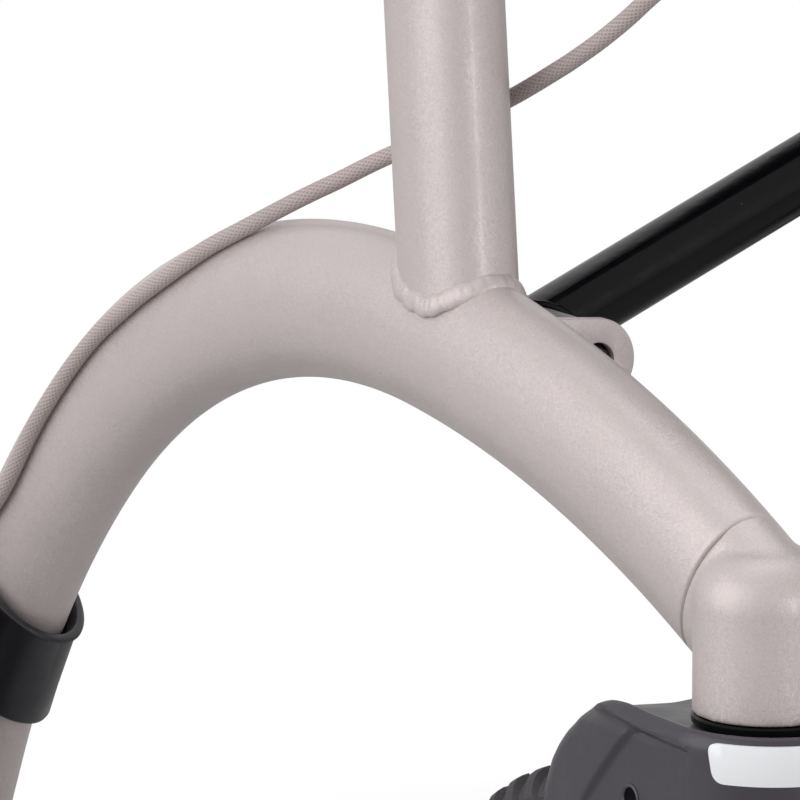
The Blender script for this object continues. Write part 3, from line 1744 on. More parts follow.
    def bearing(self) -> Mesh:
        """Build the bearing ring with the black seal that shows under the head.

        Returns:
            The ring.
        """
        rim, inner = ROUTE.rim_height, self.stem_radius + GAP
        return revolve([(inner, rim + 0.0100), (0.0130, rim + 0.0100), (0.0130, rim - GAP),
                        (self.seal - 0.0006, rim - GAP), (self.seal, rim - 0.0009),
                        (self.seal, rim - 0.0024), (self.seal - 0.0006, rim - 0.0030),
                        (inner, rim - 0.0030)], 96, (ROUTE.caster_x, 0, 0), closed=True)

    def fittings(self) -> list[Fitting]:
        """Build every piece of one caster.

        Returns:
            The pieces, in side coordinates.
        """
        reach = self.half_width + GAP
        axle = moved(axle_pin(self.axle_radius, -reach, reach, self.axle_head), self.hub[0], 0,
                     self.hub[1])
        deep, proud = self.lens
        lens = soften(self.band(0.0, self.front - deep, self.front + proud), 0.0004)
        return [Fitting("fork", self.housing(), CHARCOAL, "caster", "caster_housing"),
                Fitting("reflector_lens", lens, REFLECTOR, "caster", "reflector"),
                Fitting("bearing_seal", self.bearing(), SEAL, "frame", "head_bearing"),
                Fitting("fork_axle", axle, ZINC, "caster", "front_axle")]


CASTER = Caster()


@dataclass
class Wheel:
    """One wheel: a solid tyre with a block tread on a moulded rim."""

    radius: float = 0.100
    half: float = 0.0175
    seat: float = 0.0770
    rim_half: float = 0.0135
    rim_depth: float = 0.0100
    hub_radius: float = 0.0150
    hub_half: float = 0.0180
    bore: float = 0.0056
    spokes: int = 5
    spoke_width: float = 0.0150
    spoke_squareness: float = 4.5
    rib: float = 0.0034
    window: Line = ((0.0195, -0.0034), (0.0625, -0.0062), (0.0625, 0.0062), (0.0195, 0.0034))
    blocks: int = 52
    tread: float = 0.0019
    slant: float = 0.34
    outboard: float = 0.0455
    marks: tuple[float, ...] = (0.0, 0.02, 0.15, 0.17, 0.30, 0.36, 0.42, 0.50, 0.60, 0.70, 0.80,
                                0.88, 0.95)
    scoop: Line = ((0.30, 0.0), (0.36, 1.1), (0.42, 1.5), (0.50, 1.6), (0.80, 1.1), (0.88, 0.5),
                   (0.95, 0.0))

    def profile(self) -> list[tuple[float, float, int]]:
        """Draw half the tyre's section.

        Returns:
            For each point v, the radius, and 1 or 2 where blocks stand.
        """
        r, deep = self.radius, self.tread
        return [(0.0, r, 1), (0.0030, r, 1), (0.0055, r - 0.0001, 1), (0.0059, r - deep, 0),
                (0.0074, r - deep, 0), (0.0078, r - 0.0003, 2), (0.0105, r - 0.0008, 2),
                (0.0130, r - 0.0018, 2), (0.0149, r - 0.0035, 2), (0.0163, r - 0.0060, 2),
                (0.0171, r - 0.0085, 2), (0.0169, r - 0.0093, 0), (self.half, r - 0.0125, 0),
                (0.0174, r - 0.0155, 0), (0.0165, r - 0.0190, 0), (0.0148, r - 0.0215, 0),
                (self.rim_half + 0.0008, self.seat + 0.0003, 0)]

    def tyre(self) -> Mesh:
        """Build the tyre, its blocks slanting across the tread.

        Returns:
            The tyre, on its own axis.
        """
        half = self.profile()
        rows = [(-v, r, kind) for v, r, kind in reversed(half[1:])] + half
        rings, scoop = [], tuple(zip(*self.scoop))
        for block in range(self.blocks):
            for mark in self.marks:
                ring = []
                for i, (v, r, kind) in enumerate(rows):
                    sunk = float(np.interp(mark, *scoop)) if kind == 2 \
                        else float(kind == 1 and 0.01 < mark < 0.16)
                    if sunk:
                        before, after = rows[i - 1], rows[(i + 1) % len(rows)]
                        slope = Vector((after[0] - before[0], after[1] - before[1]))
                        slope = slope.normalized() if i % (len(rows) - 1) else Vector((1, 0))
                        depth = sunk * self.tread * (0.7 if abs(v) > 0.0160 else 1.0)
                        v, r = v + slope.y * depth, r - abs(slope.x) * depth
                    lean = self.slant * max(-0.0165, min(0.0165, v)) / self.radius
                    angle = 2 * math.pi * (block + mark) / self.blocks + lean
                    ring.append(Vector((r * math.cos(angle), v, r * math.sin(angle))))
                rings.append(ring)
        return skin(rings, looped=True)

    def rim(self) -> Mesh:
        """Build the rim: a flanged ring, a hub and five ribbed spokes in one moulding.

        Returns:
            The rim, on its own axis.
        """
        outer = self.seat - GAP
        inner = outer - self.rim_depth
        half = [(outer, self.rim_half), (outer - 0.0022, self.rim_half),
                (outer - 0.0062, 0.0112), (inner + 0.0012, 0.0070), (inner, 0.0)]
        ring = revolve([*half, *[(r, -v) for r, v in reversed(half[:-1])]], 144, axis="Y",
                       closed=True)
        r, h = self.hub_radius, self.hub_half
        hub = revolve([(r - 0.0012, -h), (r, -h + 0.0012), (r + 0.0004, 0), (r, h - 0.0012),
                       (r - 0.0012, h)], 72, axis="Y")
        spokes, pockets = [], []
        outline = rounded(self.window, 0.003)
        for angle in turns(self.spokes):
            turn = Matrix.Rotation(angle + math.pi / 2, 4, "Y")
            spokes.append(skin([
                [turn @ Vector((reach, y, across))
                 for across, y in oval(wide, thick, 32, self.spoke_squareness)]
                for reach, wide, thick in ((0.6 * r, self.spoke_width * 0.8, 0.020),
                                           (inner + 0.004, self.spoke_width * 1.25, 0.016))]))
            for low, high in ((self.rib, 0.02), (-0.02, -self.rib)):
                pocket = prism(outline, low, high)
                pocket.transform(turn)
                pockets.append(pocket)
        bore = rod("Y", self.bore, (0, 0), -0.03, 0.03, 48)
        return remould(cut(fuse(ring, hub, *spokes), gather(*pockets), bore), COARSE_VOXEL, 4)

    def fittings(self) -> list[Fitting]:
        """Build both wheels of one side.

        Returns:
            The pieces, in side coordinates.
        """
        tyre, rim = self.tyre(), self.rim()
        made = []
        for place, x, v in (("front", ROUTE.axle_x, 0.0), ("rear", -ROUTE.axle_x,
                                                           -self.outboard)):
            body = place + "_wheel"
            made += [Fitting(place + "_tread", moved(tyre, x, v, self.radius), TYRE, body,
                             place + "_tyre", 30.0),
                     Fitting(place + "_spokes", moved(rim, x, v, self.radius), CHARCOAL, body,
                             place + "_rim", 60.0)]
        return made


WHEEL = Wheel()


@dataclass
class Handle:
    """The sliding handle tube with its grip, lever, collar and button."""

    stalk: float = 0.135
    insert: float = 0.215
    bend: float = 0.055
    rise: float = 6.0
    straight: float = 0.146
    tube_wall: float = 0.0023
    end_diameter: float = 0.0220
    grip_start: float = 0.0345
    grip_radius: float = 0.0165
    pivot: Flat = (0.0180, 0.0260)
    lever_width: float = 0.0120
    lever_reach: float = 0.1380
    lever_pin: float = 0.0028
    clamp_depth: float = 0.0350
    clamp_width: float = 0.0330
    collar_height: float = 0.0240
    button_radius: float = 0.0060
    ribs: int = 17
    rib_depth: float = 0.0007
    palm: Line = ((0.0, 0.86), (0.012, 0.99), (0.03, 1.07), (0.07, 0.99), (0.16, 1.0),
                  (0.28, 1.05), (0.55, 1.12), (0.80, 1.02), (0.93, 1.06), (0.965, 1.19),
                  (0.985, 1.20), (1.0, 1.08))
    blade: tuple[Triple, ...] = (
        (-0.054, 0.001, 0.917), (0.0, 0.001, 0.958), (0.087, 0.029, 0.875),
        (0.174, 0.116, 0.833), (0.304, 0.174, 0.792), (0.522, 0.207, 0.750),
        (0.739, 0.232, 0.750), (0.942, 0.264, 0.833), (1.0, 0.275, 0.583))

    @property
    def end(self) -> float:
        """Where the bend ends, as a distance along the tube."""
        return TUBES.length + self.stalk + self.bend * math.radians(90 - TUBES.lean - self.rise)

    def state(self, distance: float) -> Triple:
        """Follow the tube upwards from the upright's foot.

        Args:
            distance: How far to go along it.

        Returns:
            The tube's centre (x, z) and heading there.
        """
        start = math.radians(90 + TUBES.lean)
        level = TUBES.length + self.stalk
        x, z = TUBES.upright_point(min(distance, level))
        if distance <= level:
            return x, z, start
        turn = min((distance - level) / self.bend, math.radians(90 - TUBES.lean - self.rise))
        heading = start + turn
        rest = distance - level - turn * self.bend
        x += self.bend * (math.sin(heading) - math.sin(start)) + rest * math.cos(heading)
        z += self.bend * (math.cos(start) - math.cos(heading)) + rest * math.sin(heading)
        return x, z, heading

    def ring(self, distance: float, depth: float, width: float, sides: int = 64,
             squareness: float = 2.0) -> Ring:
        """Return a section square to the handle tube."""
        at = self.state(distance)
        return [beside(at, n, v) for n, v in oval(depth, width, sides, squareness)]

    def point(self, along: float, below: float, v: float = 0.0) -> Vector:
        """Return a point by the grip: along the tube, and below its axis."""
        return beside(self.state(self.end + along), below, v)

    def below(self, corners: Line) -> list[Flat]:
        """Return an outline in the side plane from points by the grip."""
        return [(p.x, p.z) for p in (self.point(*corner) for corner in corners)]

    @property
    def mouth(self) -> Vector:
        """Where the cable leaves the lever's clamp."""
        return self.point(-0.0194, 0.0240, 0.0150)

    def tube(self) -> Mesh:
        """Build the tube: oval in the upright, round at the grip.

        Returns:
            The tube.
        """
        depth, width = (size - 2 * self.tube_wall
                        for size in (TUBES.upright_depth, TUBES.upright_width))
        taper = TUBES.length + self.stalk - 0.03
        marks = [TUBES.length - self.insert + 0.06 * i for i in range(5)]
        marks = [mark for mark in marks if mark < taper]
        marks += [*spread(taper, self.end, 40), self.end + self.straight]
        rings = []
        for mark in marks:
            share = min(1.0, max(0.0, (mark - taper) / (self.end - taper))) ** 1.3
            rings.append(self.ring(mark, depth + (self.end_diameter - depth) * share,
                                   width + (self.end_diameter - width) * share, 72,
                                   TUBES.squareness + (2 - TUBES.squareness) * share))
        return skin(rings)

    def grip(self) -> Mesh:
        """Build the grip: swelling in the palm, ringed with shallow ribs, flared behind.

        Returns:
            The grip.
        """
        start, end = self.end + self.grip_start, self.end + self.straight + 0.005
        palm, hole = tuple(zip(*self.palm)), self.end_diameter + 2 * GAP
        rings = [self.ring(start + 0.004, hole, hole), self.ring(start, hole, hole)]
        for i in range(181):
            at = i / 180
            swell = float(np.interp(at, *palm))
            rib = self.rib_depth * max(0.0, math.sin(2 * math.pi * at * self.ribs)) ** 4 \
                * (0.13 < at < 0.88)
            rings.append(self.ring(start + (end - start) * at,
                                   2 * (1.03 * self.grip_radius * swell - rib),
                                   2 * (0.94 * self.grip_radius * swell - rib), 64, 2.2))
        dome = self.ring(end + 0.0012, 1.5 * self.grip_radius, 1.4 * self.grip_radius, 64, 2.2)
        return shaped(skin([*rings, dome]), ("SMOOTH", {"factor": 0.5, "iterations": 1}))

    def clamp(self) -> Mesh:
        """Build the clamp in front of the grip, with cheeks, cable ferrule and pin.

        Returns:
            The clamp.
        """
        low, high = self.end + 0.0010, self.end + self.grip_start - 0.0010
        sizes = ((low, -0.0050), (low + 0.0012, -0.0024), (low + 0.0040, 0.0),
                 (high - 0.0030, 0.0), (high - 0.0010, -0.0008), (high, -0.0024))
        body = skin([self.ring(at, self.clamp_depth + less, self.clamp_width + less, 64, 2.6)
                     for at, less in sizes])
        gap = self.lever_width / 2 + GAP
        out = gap + 0.0042
        cheeks = prism(rounded(self.below((
            (0.002, 0.010), (0.032, 0.010), (0.030, 0.029), (0.020, 0.0345),
            (0.012, 0.0335), (0.003, 0.0230))), 0.005), -out, out)
        ferrule = bar(0.0044, self.point(0.0045, 0.0150, 0.0085), self.mouth, 40, 0.0008)
        slot = prism(self.below(((0.0078, 0.0186), (0.040, 0.0186), (0.040, 0.045),
                                 (0.0078, 0.045))), -gap, gap)
        hole = self.end_diameter + 2 * GAP
        bore = skin([self.ring(at, hole, hole) for at in (low - 0.004, high + 0.006)])
        shell = soften(cut(fuse(body, cheeks, ferrule), slot, bore), 0.0007, 40)
        pivot = self.below((self.pivot,))[0]
        pins = [rod("Y", self.lever_pin * 1.5, pivot, *ends, 32, 0.0004)
                for ends in ((-out - 0.0007, -out + 0.0005), (out - 0.0005, out + 0.0007))]
        return gather(shell, *pins, rod("Y", self.lever_pin, pivot, -out, out))

    def lever(self) -> Mesh:
        """Build the lever, swept in one curve from the pin to its rounded tip.

        Returns:
            The lever.
        """
        spine = smooth_route([(self.pivot[0] + a * self.lever_reach, h * self.lever_width,
                               self.pivot[1] + b * self.lever_reach) for a, b, h in self.blade],
                             0.0020)
        rings = []
        for i, spot in enumerate(spine):
            before, after = spine[max(i - 1, 0)], spine[min(i + 1, len(spine) - 1)]
            slope = math.atan2(after.z - before.z, after.x - before.x)
            edge = min(i, len(spine) - 1 - i)
            share = math.sqrt(1 - max(0.0, 1 - (edge + 0.4) / 3.4) ** 2)
            across = self.lever_width * (0.86 + 0.14 * share)
            rings.append([self.point(spot.x - n * math.sin(slope), spot.z + n * math.cos(slope),
                                     v) for n, v in oval(spot.y * share, across, 36, 2.8)])
        return skin(rings)

    @property
    def button_axis(self) -> Flat:
        """Where the height button's axis crosses the side plane."""
        return TUBES.upright_point(TUBES.length - 0.0125)

    def collar(self) -> Mesh:
        """Build the sleeve on top of the upright, with the button's guide.

        Returns:
            The sleeve.
        """
        low, high = TUBES.length - self.collar_height, TUBES.length + 0.0040
        marks = ((low, 0.0023), (low + 0.0006, 0.0026), (low + 0.0020, 0.0028),
                 (high - 0.0022, 0.0028), (high - 0.0009, 0.0023), (high, 0.0012))
        shell = sheath(TUBES.upright_ring, marks)
        guide = rod("Y", self.button_radius + 0.0028, self.button_axis, -0.010,
                    -TUBES.upright_width / 2 - 0.0065, 56, 0.0006)
        tube = sheath(TUBES.upright_ring, ((low - 0.01, GAP), (TUBES.length + GAP, GAP)))
        throat = sheath(TUBES.upright_ring, ((low - 0.01, -TUBES.wall),
                                             (high + 0.01, -TUBES.wall)))
        hole = rod("Y", self.button_radius + GAP, self.button_axis, -0.05, -0.0152, 48)
        return soften(cut(fuse(shell, guide), tube, throat, hole), 0.0004, 45)

    def button(self) -> Mesh:
        """Build the round button, dished on top.

        Returns:
            The button.
        """
        x, z = self.button_axis
        r, seat = self.button_radius, TUBES.upright_width / 2 + GAP + 0.0042
        face = TUBES.upright_width / 2 + 0.0105
        return revolve([(r, -seat), (r, -face + 0.0012), (r - 0.0004, -face + 0.0004),
                        (r - 0.0013, -face), (r * 0.62, -face + 0.0004),
                        (r * 0.2, -face + 0.0009)], 56, (x, 0, z), "Y")

    def fittings(self) -> list[Fitting]:
        """Build every piece of one handle.

        Returns:
            The pieces, in side coordinates.
        """
        return [Fitting("stalk", self.tube(), ANODISED, "handle", "handle_tube", 60.0),
                Fitting("hand_grip", self.grip(), GRIP, "handle", "grip", 70.0),
                Fitting("lever_clamp", self.clamp(), BLACK_PLASTIC, "handle", "lever_housing"),
                Fitting("lever_blade", self.lever(), BLACK_PLASTIC, "lever", "brake_lever",
                        70.0),
                Fitting("collar", self.collar(), BLACK_PLASTIC, "frame", "upright_collar"),
                Fitting("push_button", self.button(), CHARCOAL, "button", "height_button")]


HANDLE = Handle()


@dataclass
class Brake:
    """The rear brake: collar, rocker, cable and wire, and the shoe on the leg's foot."""

    station: float = 0.0680
    below: float = 0.0145
    above: float = 0.0298
    slant: float = 22.5
    wall: float = 0.0044
    lip: float = 0.0014
    cable: float = 0.0050
    cable_turn: float = -45.0
    cable_swing: float = 13.5
    swing_run: float = 0.0270
    plate: float = 0.0032
    pin: float = 0.0040
    tail: float = 0.0045
    shoe_gap: float = 0.0026
    shoe_thickness: float = 0.0062
    shoe_start: float = 30.0
    shoe_end: float = 46.0
    foot_wall: float = 0.0035
    foot_top: float = -0.0080
    axle_radius: float = 0.0050
    axle_head: float = 0.0040
    wire_radius: float = 0.0008
    frame_end: float = 0.36
    handle_end: float = 0.79
    cable_top: tuple[Triple, ...] = (
        (0.0008, 0.0152, -0.0004), (0.0170, 0.0183, -0.0070), (0.0450, 0.0190, -0.0175),
        (0.0720, 0.0155, -0.0390), (0.1000, 0.0120, -0.0790), (0.1245, 0.0145, -0.1360))
    cable_fall: tuple[Triple, ...] = (
        (0.0617, 0.0185, 0.3038), (0.0717, 0.0235, 0.2288), (0.0775, 0.0255, 0.1720),
        (0.0790, 0.0260, 0.1480), (0.0762, 0.0267, 0.1250), (0.0706, 0.0269, 0.1148),
        (0.0628, 0.0268, 0.1078), (0.0549, 0.0265, 0.1027), (0.0441, 0.0260, 0.0957),
        (0.0328, 0.0250, 0.0888), (0.0233, 0.0243, 0.0836), (0.0140, 0.0233, 0.0787),
        (-0.0078, 0.0210, 0.0681), (-0.0346, 0.0165, 0.0560), (-0.0609, 0.0085, 0.0439),
        (-0.0744, 0.0030, 0.0367), (-0.0877, -0.0028, 0.0297))
    cable_lies: Line = (
        (0.308, -31.0), (0.290, -45.5), (0.2715, -56.0), (0.245, -63.0), (0.212, -68.0),
        (0.1745, -76.0), (0.140, -83.0), (0.120, -77.0))
    cable_ends: tuple[float, ...] = (0.036, 0.022, 0.008, -0.004)

    @property
    def hub(self) -> Flat:
        """The rear wheel's centre."""
        return -ROUTE.axle_x, ROUTE.axle_height

    @property
    def face(self) -> float:
        """How far the collar's side stands from the side plane."""
        return ROUTE.width / 2 + self.wall

    @property
    def near(self) -> float:
        """The rocker plate's inboard face."""
        return -(self.face + self.lip + 0.0006)

    @property
    def slope(self) -> float:
        """How far the collar's upper edge climbs for each step outboard."""
        return math.tan(math.radians(self.slant))

    @property
    def tail_station(self) -> float:
        """The station of the rocker's tail."""
        return self.station - self.below - 0.0120

    def turn(self, station: float) -> float:
        """Return how far round from the leg's back the cable passes through the collar."""
        above = max(0.0, station - self.station - 0.15 * self.swing_run)
        return self.cable_turn - self.cable_swing * (above / self.swing_run) ** 2

    def lie(self, station: float, turn: float) -> Vector:
        """Return the cable's centre where it lies on the tube, turned round from its back."""
        rest, round_by = GAP + self.cable / 2, math.radians(turn)
        return ROUTE.beside(station, (ROUTE.depth / 2 + rest) * math.cos(round_by),
                            (ROUTE.width / 2 + rest) * math.sin(round_by))

    def tail_point(self, v: float) -> Vector:
        """Return the point of the rocker's tail at which the wire ends."""
        return ROUTE.beside(self.tail_station, ROUTE.depth / 2 + self.tail + 0.0009, v)

    def lump(self, low: float, high: float, radius: float) -> Mesh:
        """Build a round bar along the cable's own line beside the leg."""
        return sweep([self.lie(mark, self.turn(mark)) for mark in spread(low, high, 12)],
                     radius, 40)

    def slanted(self, station: float, extra: float, share: float) -> Ring:
        """Return a section of the leg that climbs outboard by a share of the slope."""
        return [ROUTE.beside(station - self.slope * share * v, n, v)
                for n, v in ROUTE.section(extra)]

    def collar(self) -> Mesh:
        """Build the slanting collar on the leg, with a bead round its mouth, and its pin.

        Returns:
            The collar.
        """
        low, high = self.station - self.below, self.station + self.above
        top, run = self.wall + self.lip, self.below + self.above
        outer = [(low, self.wall - 0.0022), (low + 0.0003, self.wall - 0.0012),
                 (low + 0.0010, self.wall - 0.0004), (low + 0.0022, self.wall),
                 (self.station, self.wall), (high - 0.0034, self.wall - 0.0001),
                 (high - 0.0029, self.wall + 0.0002), (high - 0.0024, self.wall + 0.0007),
                 (high - 0.0016, top), (high - 0.0009, top), (high - 0.0003, top - 0.0004),
                 (high, top - 0.0011)]
        inner = [(high - 0.0003, 0.0031), (high - 0.0015, 0.0024), (high - 0.0045, 0.0012),
                 *[(high - 0.0080 - (run - 0.0080) * i / 5, GAP) for i in range(6)]]
        band = skin([self.slanted(at, grow, 0.9 + 0.1 * (at - low) / run)
                     for at, grow in outer + inner], looped=True)
        x, z, _ = ROUTE.at(self.station)
        far, near, pin = self.near - self.plate - GAP, self.near + GAP, self.pin
        post = revolve([(pin + 0.0025, -self.face + 0.002), (pin + 0.0025, near), (pin, near),
                        (pin, far), (pin + 0.0022, far), (pin + 0.0022, far - 0.0007),
                        (pin + 0.0012, far - 0.0015)], 44, (x, 0, z), "Y")
        end = high + self.slope * ROUTE.width / 2 - 2 * self.lip
        saddle = self.lump(low + 0.24 * self.below, end, self.cable / 2 + 0.0028)
        channel = self.lump(low - 0.01, end + 0.01, self.cable / 2 + 3 * GAP)
        bore = skin([ROUTE.ring(low - 0.01 + (end + 0.01 - low) * i / 8, GAP)
                     for i in range(9)])
        return soften(cut(fuse(band, cut(saddle, bore), post), channel), 0.0004, 50)

    def rocker(self) -> Mesh:
        """Build the rocker: a pressed plate with an eye, a tab for the wire and the shoe.

        Returns:
            The rocker.
        """
        x, z, _ = ROUTE.at(self.station)
        hub = self.hub
        inner = WHEEL.radius + self.shoe_gap + 0.0009
        outer = inner + self.shoe_thickness
        tail = self.tail_point(0)
        tip = self.shoe_start + 8.0
        outline = [*arc((tail.x, tail.z), self.tail, 60, 285, 16), (x + 0.002, z - 0.0125),
                   *arc(hub, inner + 0.0010, tip - 1.0, self.shoe_end - 1.0, 6),
                   (x + 0.003, z + 0.0105), (x - 0.009, z + 0.008)]
        cx, cz = (sum(values) / len(outline) for values in zip(*outline))
        outline.sort(key=lambda p: math.atan2(p[1] - cz, p[0] - cx))
        plate = prism(outline, self.near - self.plate, self.near)
        half = WHEEL.half - 0.003
        shoe = prism(rounded(arc(hub, inner, self.shoe_start, self.shoe_end, 8)
                             + arc(hub, outer, self.shoe_end, self.shoe_start, 8), 0.0008, 2),
                     -WHEEL.outboard - half, -WHEEL.outboard + half)
        web = prism(arc(hub, inner + 0.0005, tip, self.shoe_end - 0.5, 8)
                    + arc(hub, outer - 0.0005, self.shoe_end - 0.5, tip, 8),
                    -WHEEL.outboard, self.near - 0.0008)
        tab = prism(arc((tail.x, tail.z), self.tail - 0.0003, 0, 345, 30),
                    self.near - self.plate + 0.0008, 0.003)
        eye = rod("Y", self.pin + GAP, (x, z), self.near + 0.01, self.near - 0.015, 44)
        return soften(cut(fuse(plate, shoe, web, tab), eye), 0.0005, 40)

    def line(self) -> list[Vector]:
        """Run the whole cable's centre line, from the lever's clamp to the collar.

        Returns:
            Points on that line.
        """
        mouth, foot = HANDLE.mouth, TUBES.foot
        points = [Vector((mouth.x + x, v, mouth.z + z)) for x, v, z in self.cable_top]
        points += [Vector((foot[0] + x, v, foot[1] + z)) for x, v, z in self.cable_fall]
        points += [self.lie(at, turn) for at, turn in self.cable_lies]
        ends = [self.station + reach for reach in self.cable_ends]
        points += [self.lie(mark, self.turn(mark)) for mark in ends]
        return smooth_route(points, 0.0020)

    def shoe(self) -> Mesh:
        """Build the moulded shoe on the leg's foot, with the boss that spaces the wheel.

        Returns:
            The shoe.
        """
        (x, z), bottom, top = self.hub, -ROUTE.foot - 0.0035, self.foot_top
        sleeve = sheath(ROUTE.ring, [(at, self.foot_wall - inset) for at, inset in (
            (bottom - 0.0010, 0.0022), (bottom - 0.0004, 0.0010), (bottom + 0.0010, 0.0),
            (-0.028, 0.0), (-0.018, 0.0), (top - 0.0010, 0.0), (top, 0.0008))])
        start, end = -WHEEL.outboard + WHEEL.hub_half + GAP, ROUTE.width / 2
        boss = revolve([(0.0120, start), (0.0125, start + 0.0006), (0.0158, start + 0.0040),
                        (0.0165, start + 0.0052), (0.0165, end + 0.0028),
                        (0.0158, end + self.foot_wall)], 64, (x, 0, z), "Y")
        leg = skin([ROUTE.ring(at, GAP) for at in (-ROUTE.foot - GAP, -0.01, ROUTE.straight)])
        hole = rod("Y", self.axle_radius + GAP, self.hub, -0.04, 0.04, 48)
        return soften(cut(fuse(sleeve, boss), leg, hole), 0.0005, 45)

    def fittings(self) -> list[Fitting]:
        """Build the rigid pieces of one brake and its wheel's axle.

        Returns:
            The pieces, in side coordinates.
        """
        axle = axle_pin(self.axle_radius, -WHEEL.outboard - WHEEL.hub_half - GAP,
                        ROUTE.width / 2 + self.foot_wall + 2 * GAP, self.axle_head)
        x, z = self.hub
        return [Fitting("leg_collar", self.collar(), BLACK_PLASTIC, "frame", "cable_collar"),
                Fitting("rocker", self.rocker(), BLACK_STEEL, "brake", "brake_arm"),
                Fitting("foot", self.shoe(), BLACK_PLASTIC, "frame", "foot_shoe"),
                Fitting("wheel_bolt", moved(axle, x, 0, z), ZINC, "frame", "rear_axle")]

    def lay_cable(self, shop: Workshop, side: Side) -> None:
        """Lay one side's braided cable and the wire that comes out of its end.

        Args:
            shop: The workshop that places the pieces.
            side: The side to lay it on.
        """
        centre = self.line()
        cable = shop.put_side(Fitting("braided_cable", sweep(centre, self.cable / 2, 20),
                                      BRAIDED, "frame", "brake_cable", 80.0), side, False)
        start, end = (side.point(0, 0, height) for height in (self.frame_end, self.handle_end))
        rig.blend(cable, side.prefix + "frame", side.prefix + "handle", start, end)
        tail = self.tail_point(centre[-1].y)
        inner = smooth_route([centre[-3], centre[-1], centre[-1].lerp(tail, 0.6), tail], 0.0012)
        wire = shop.put_side(Fitting("brake_wire", sweep(inner, self.wire_radius, 14), ZINC,
                                     "frame"), side, False)
        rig.blend(wire, side.prefix + "frame", side.prefix + "brake",
                 side.point(*centre[-1]), side.point(*tail))


BRAKE = Brake()


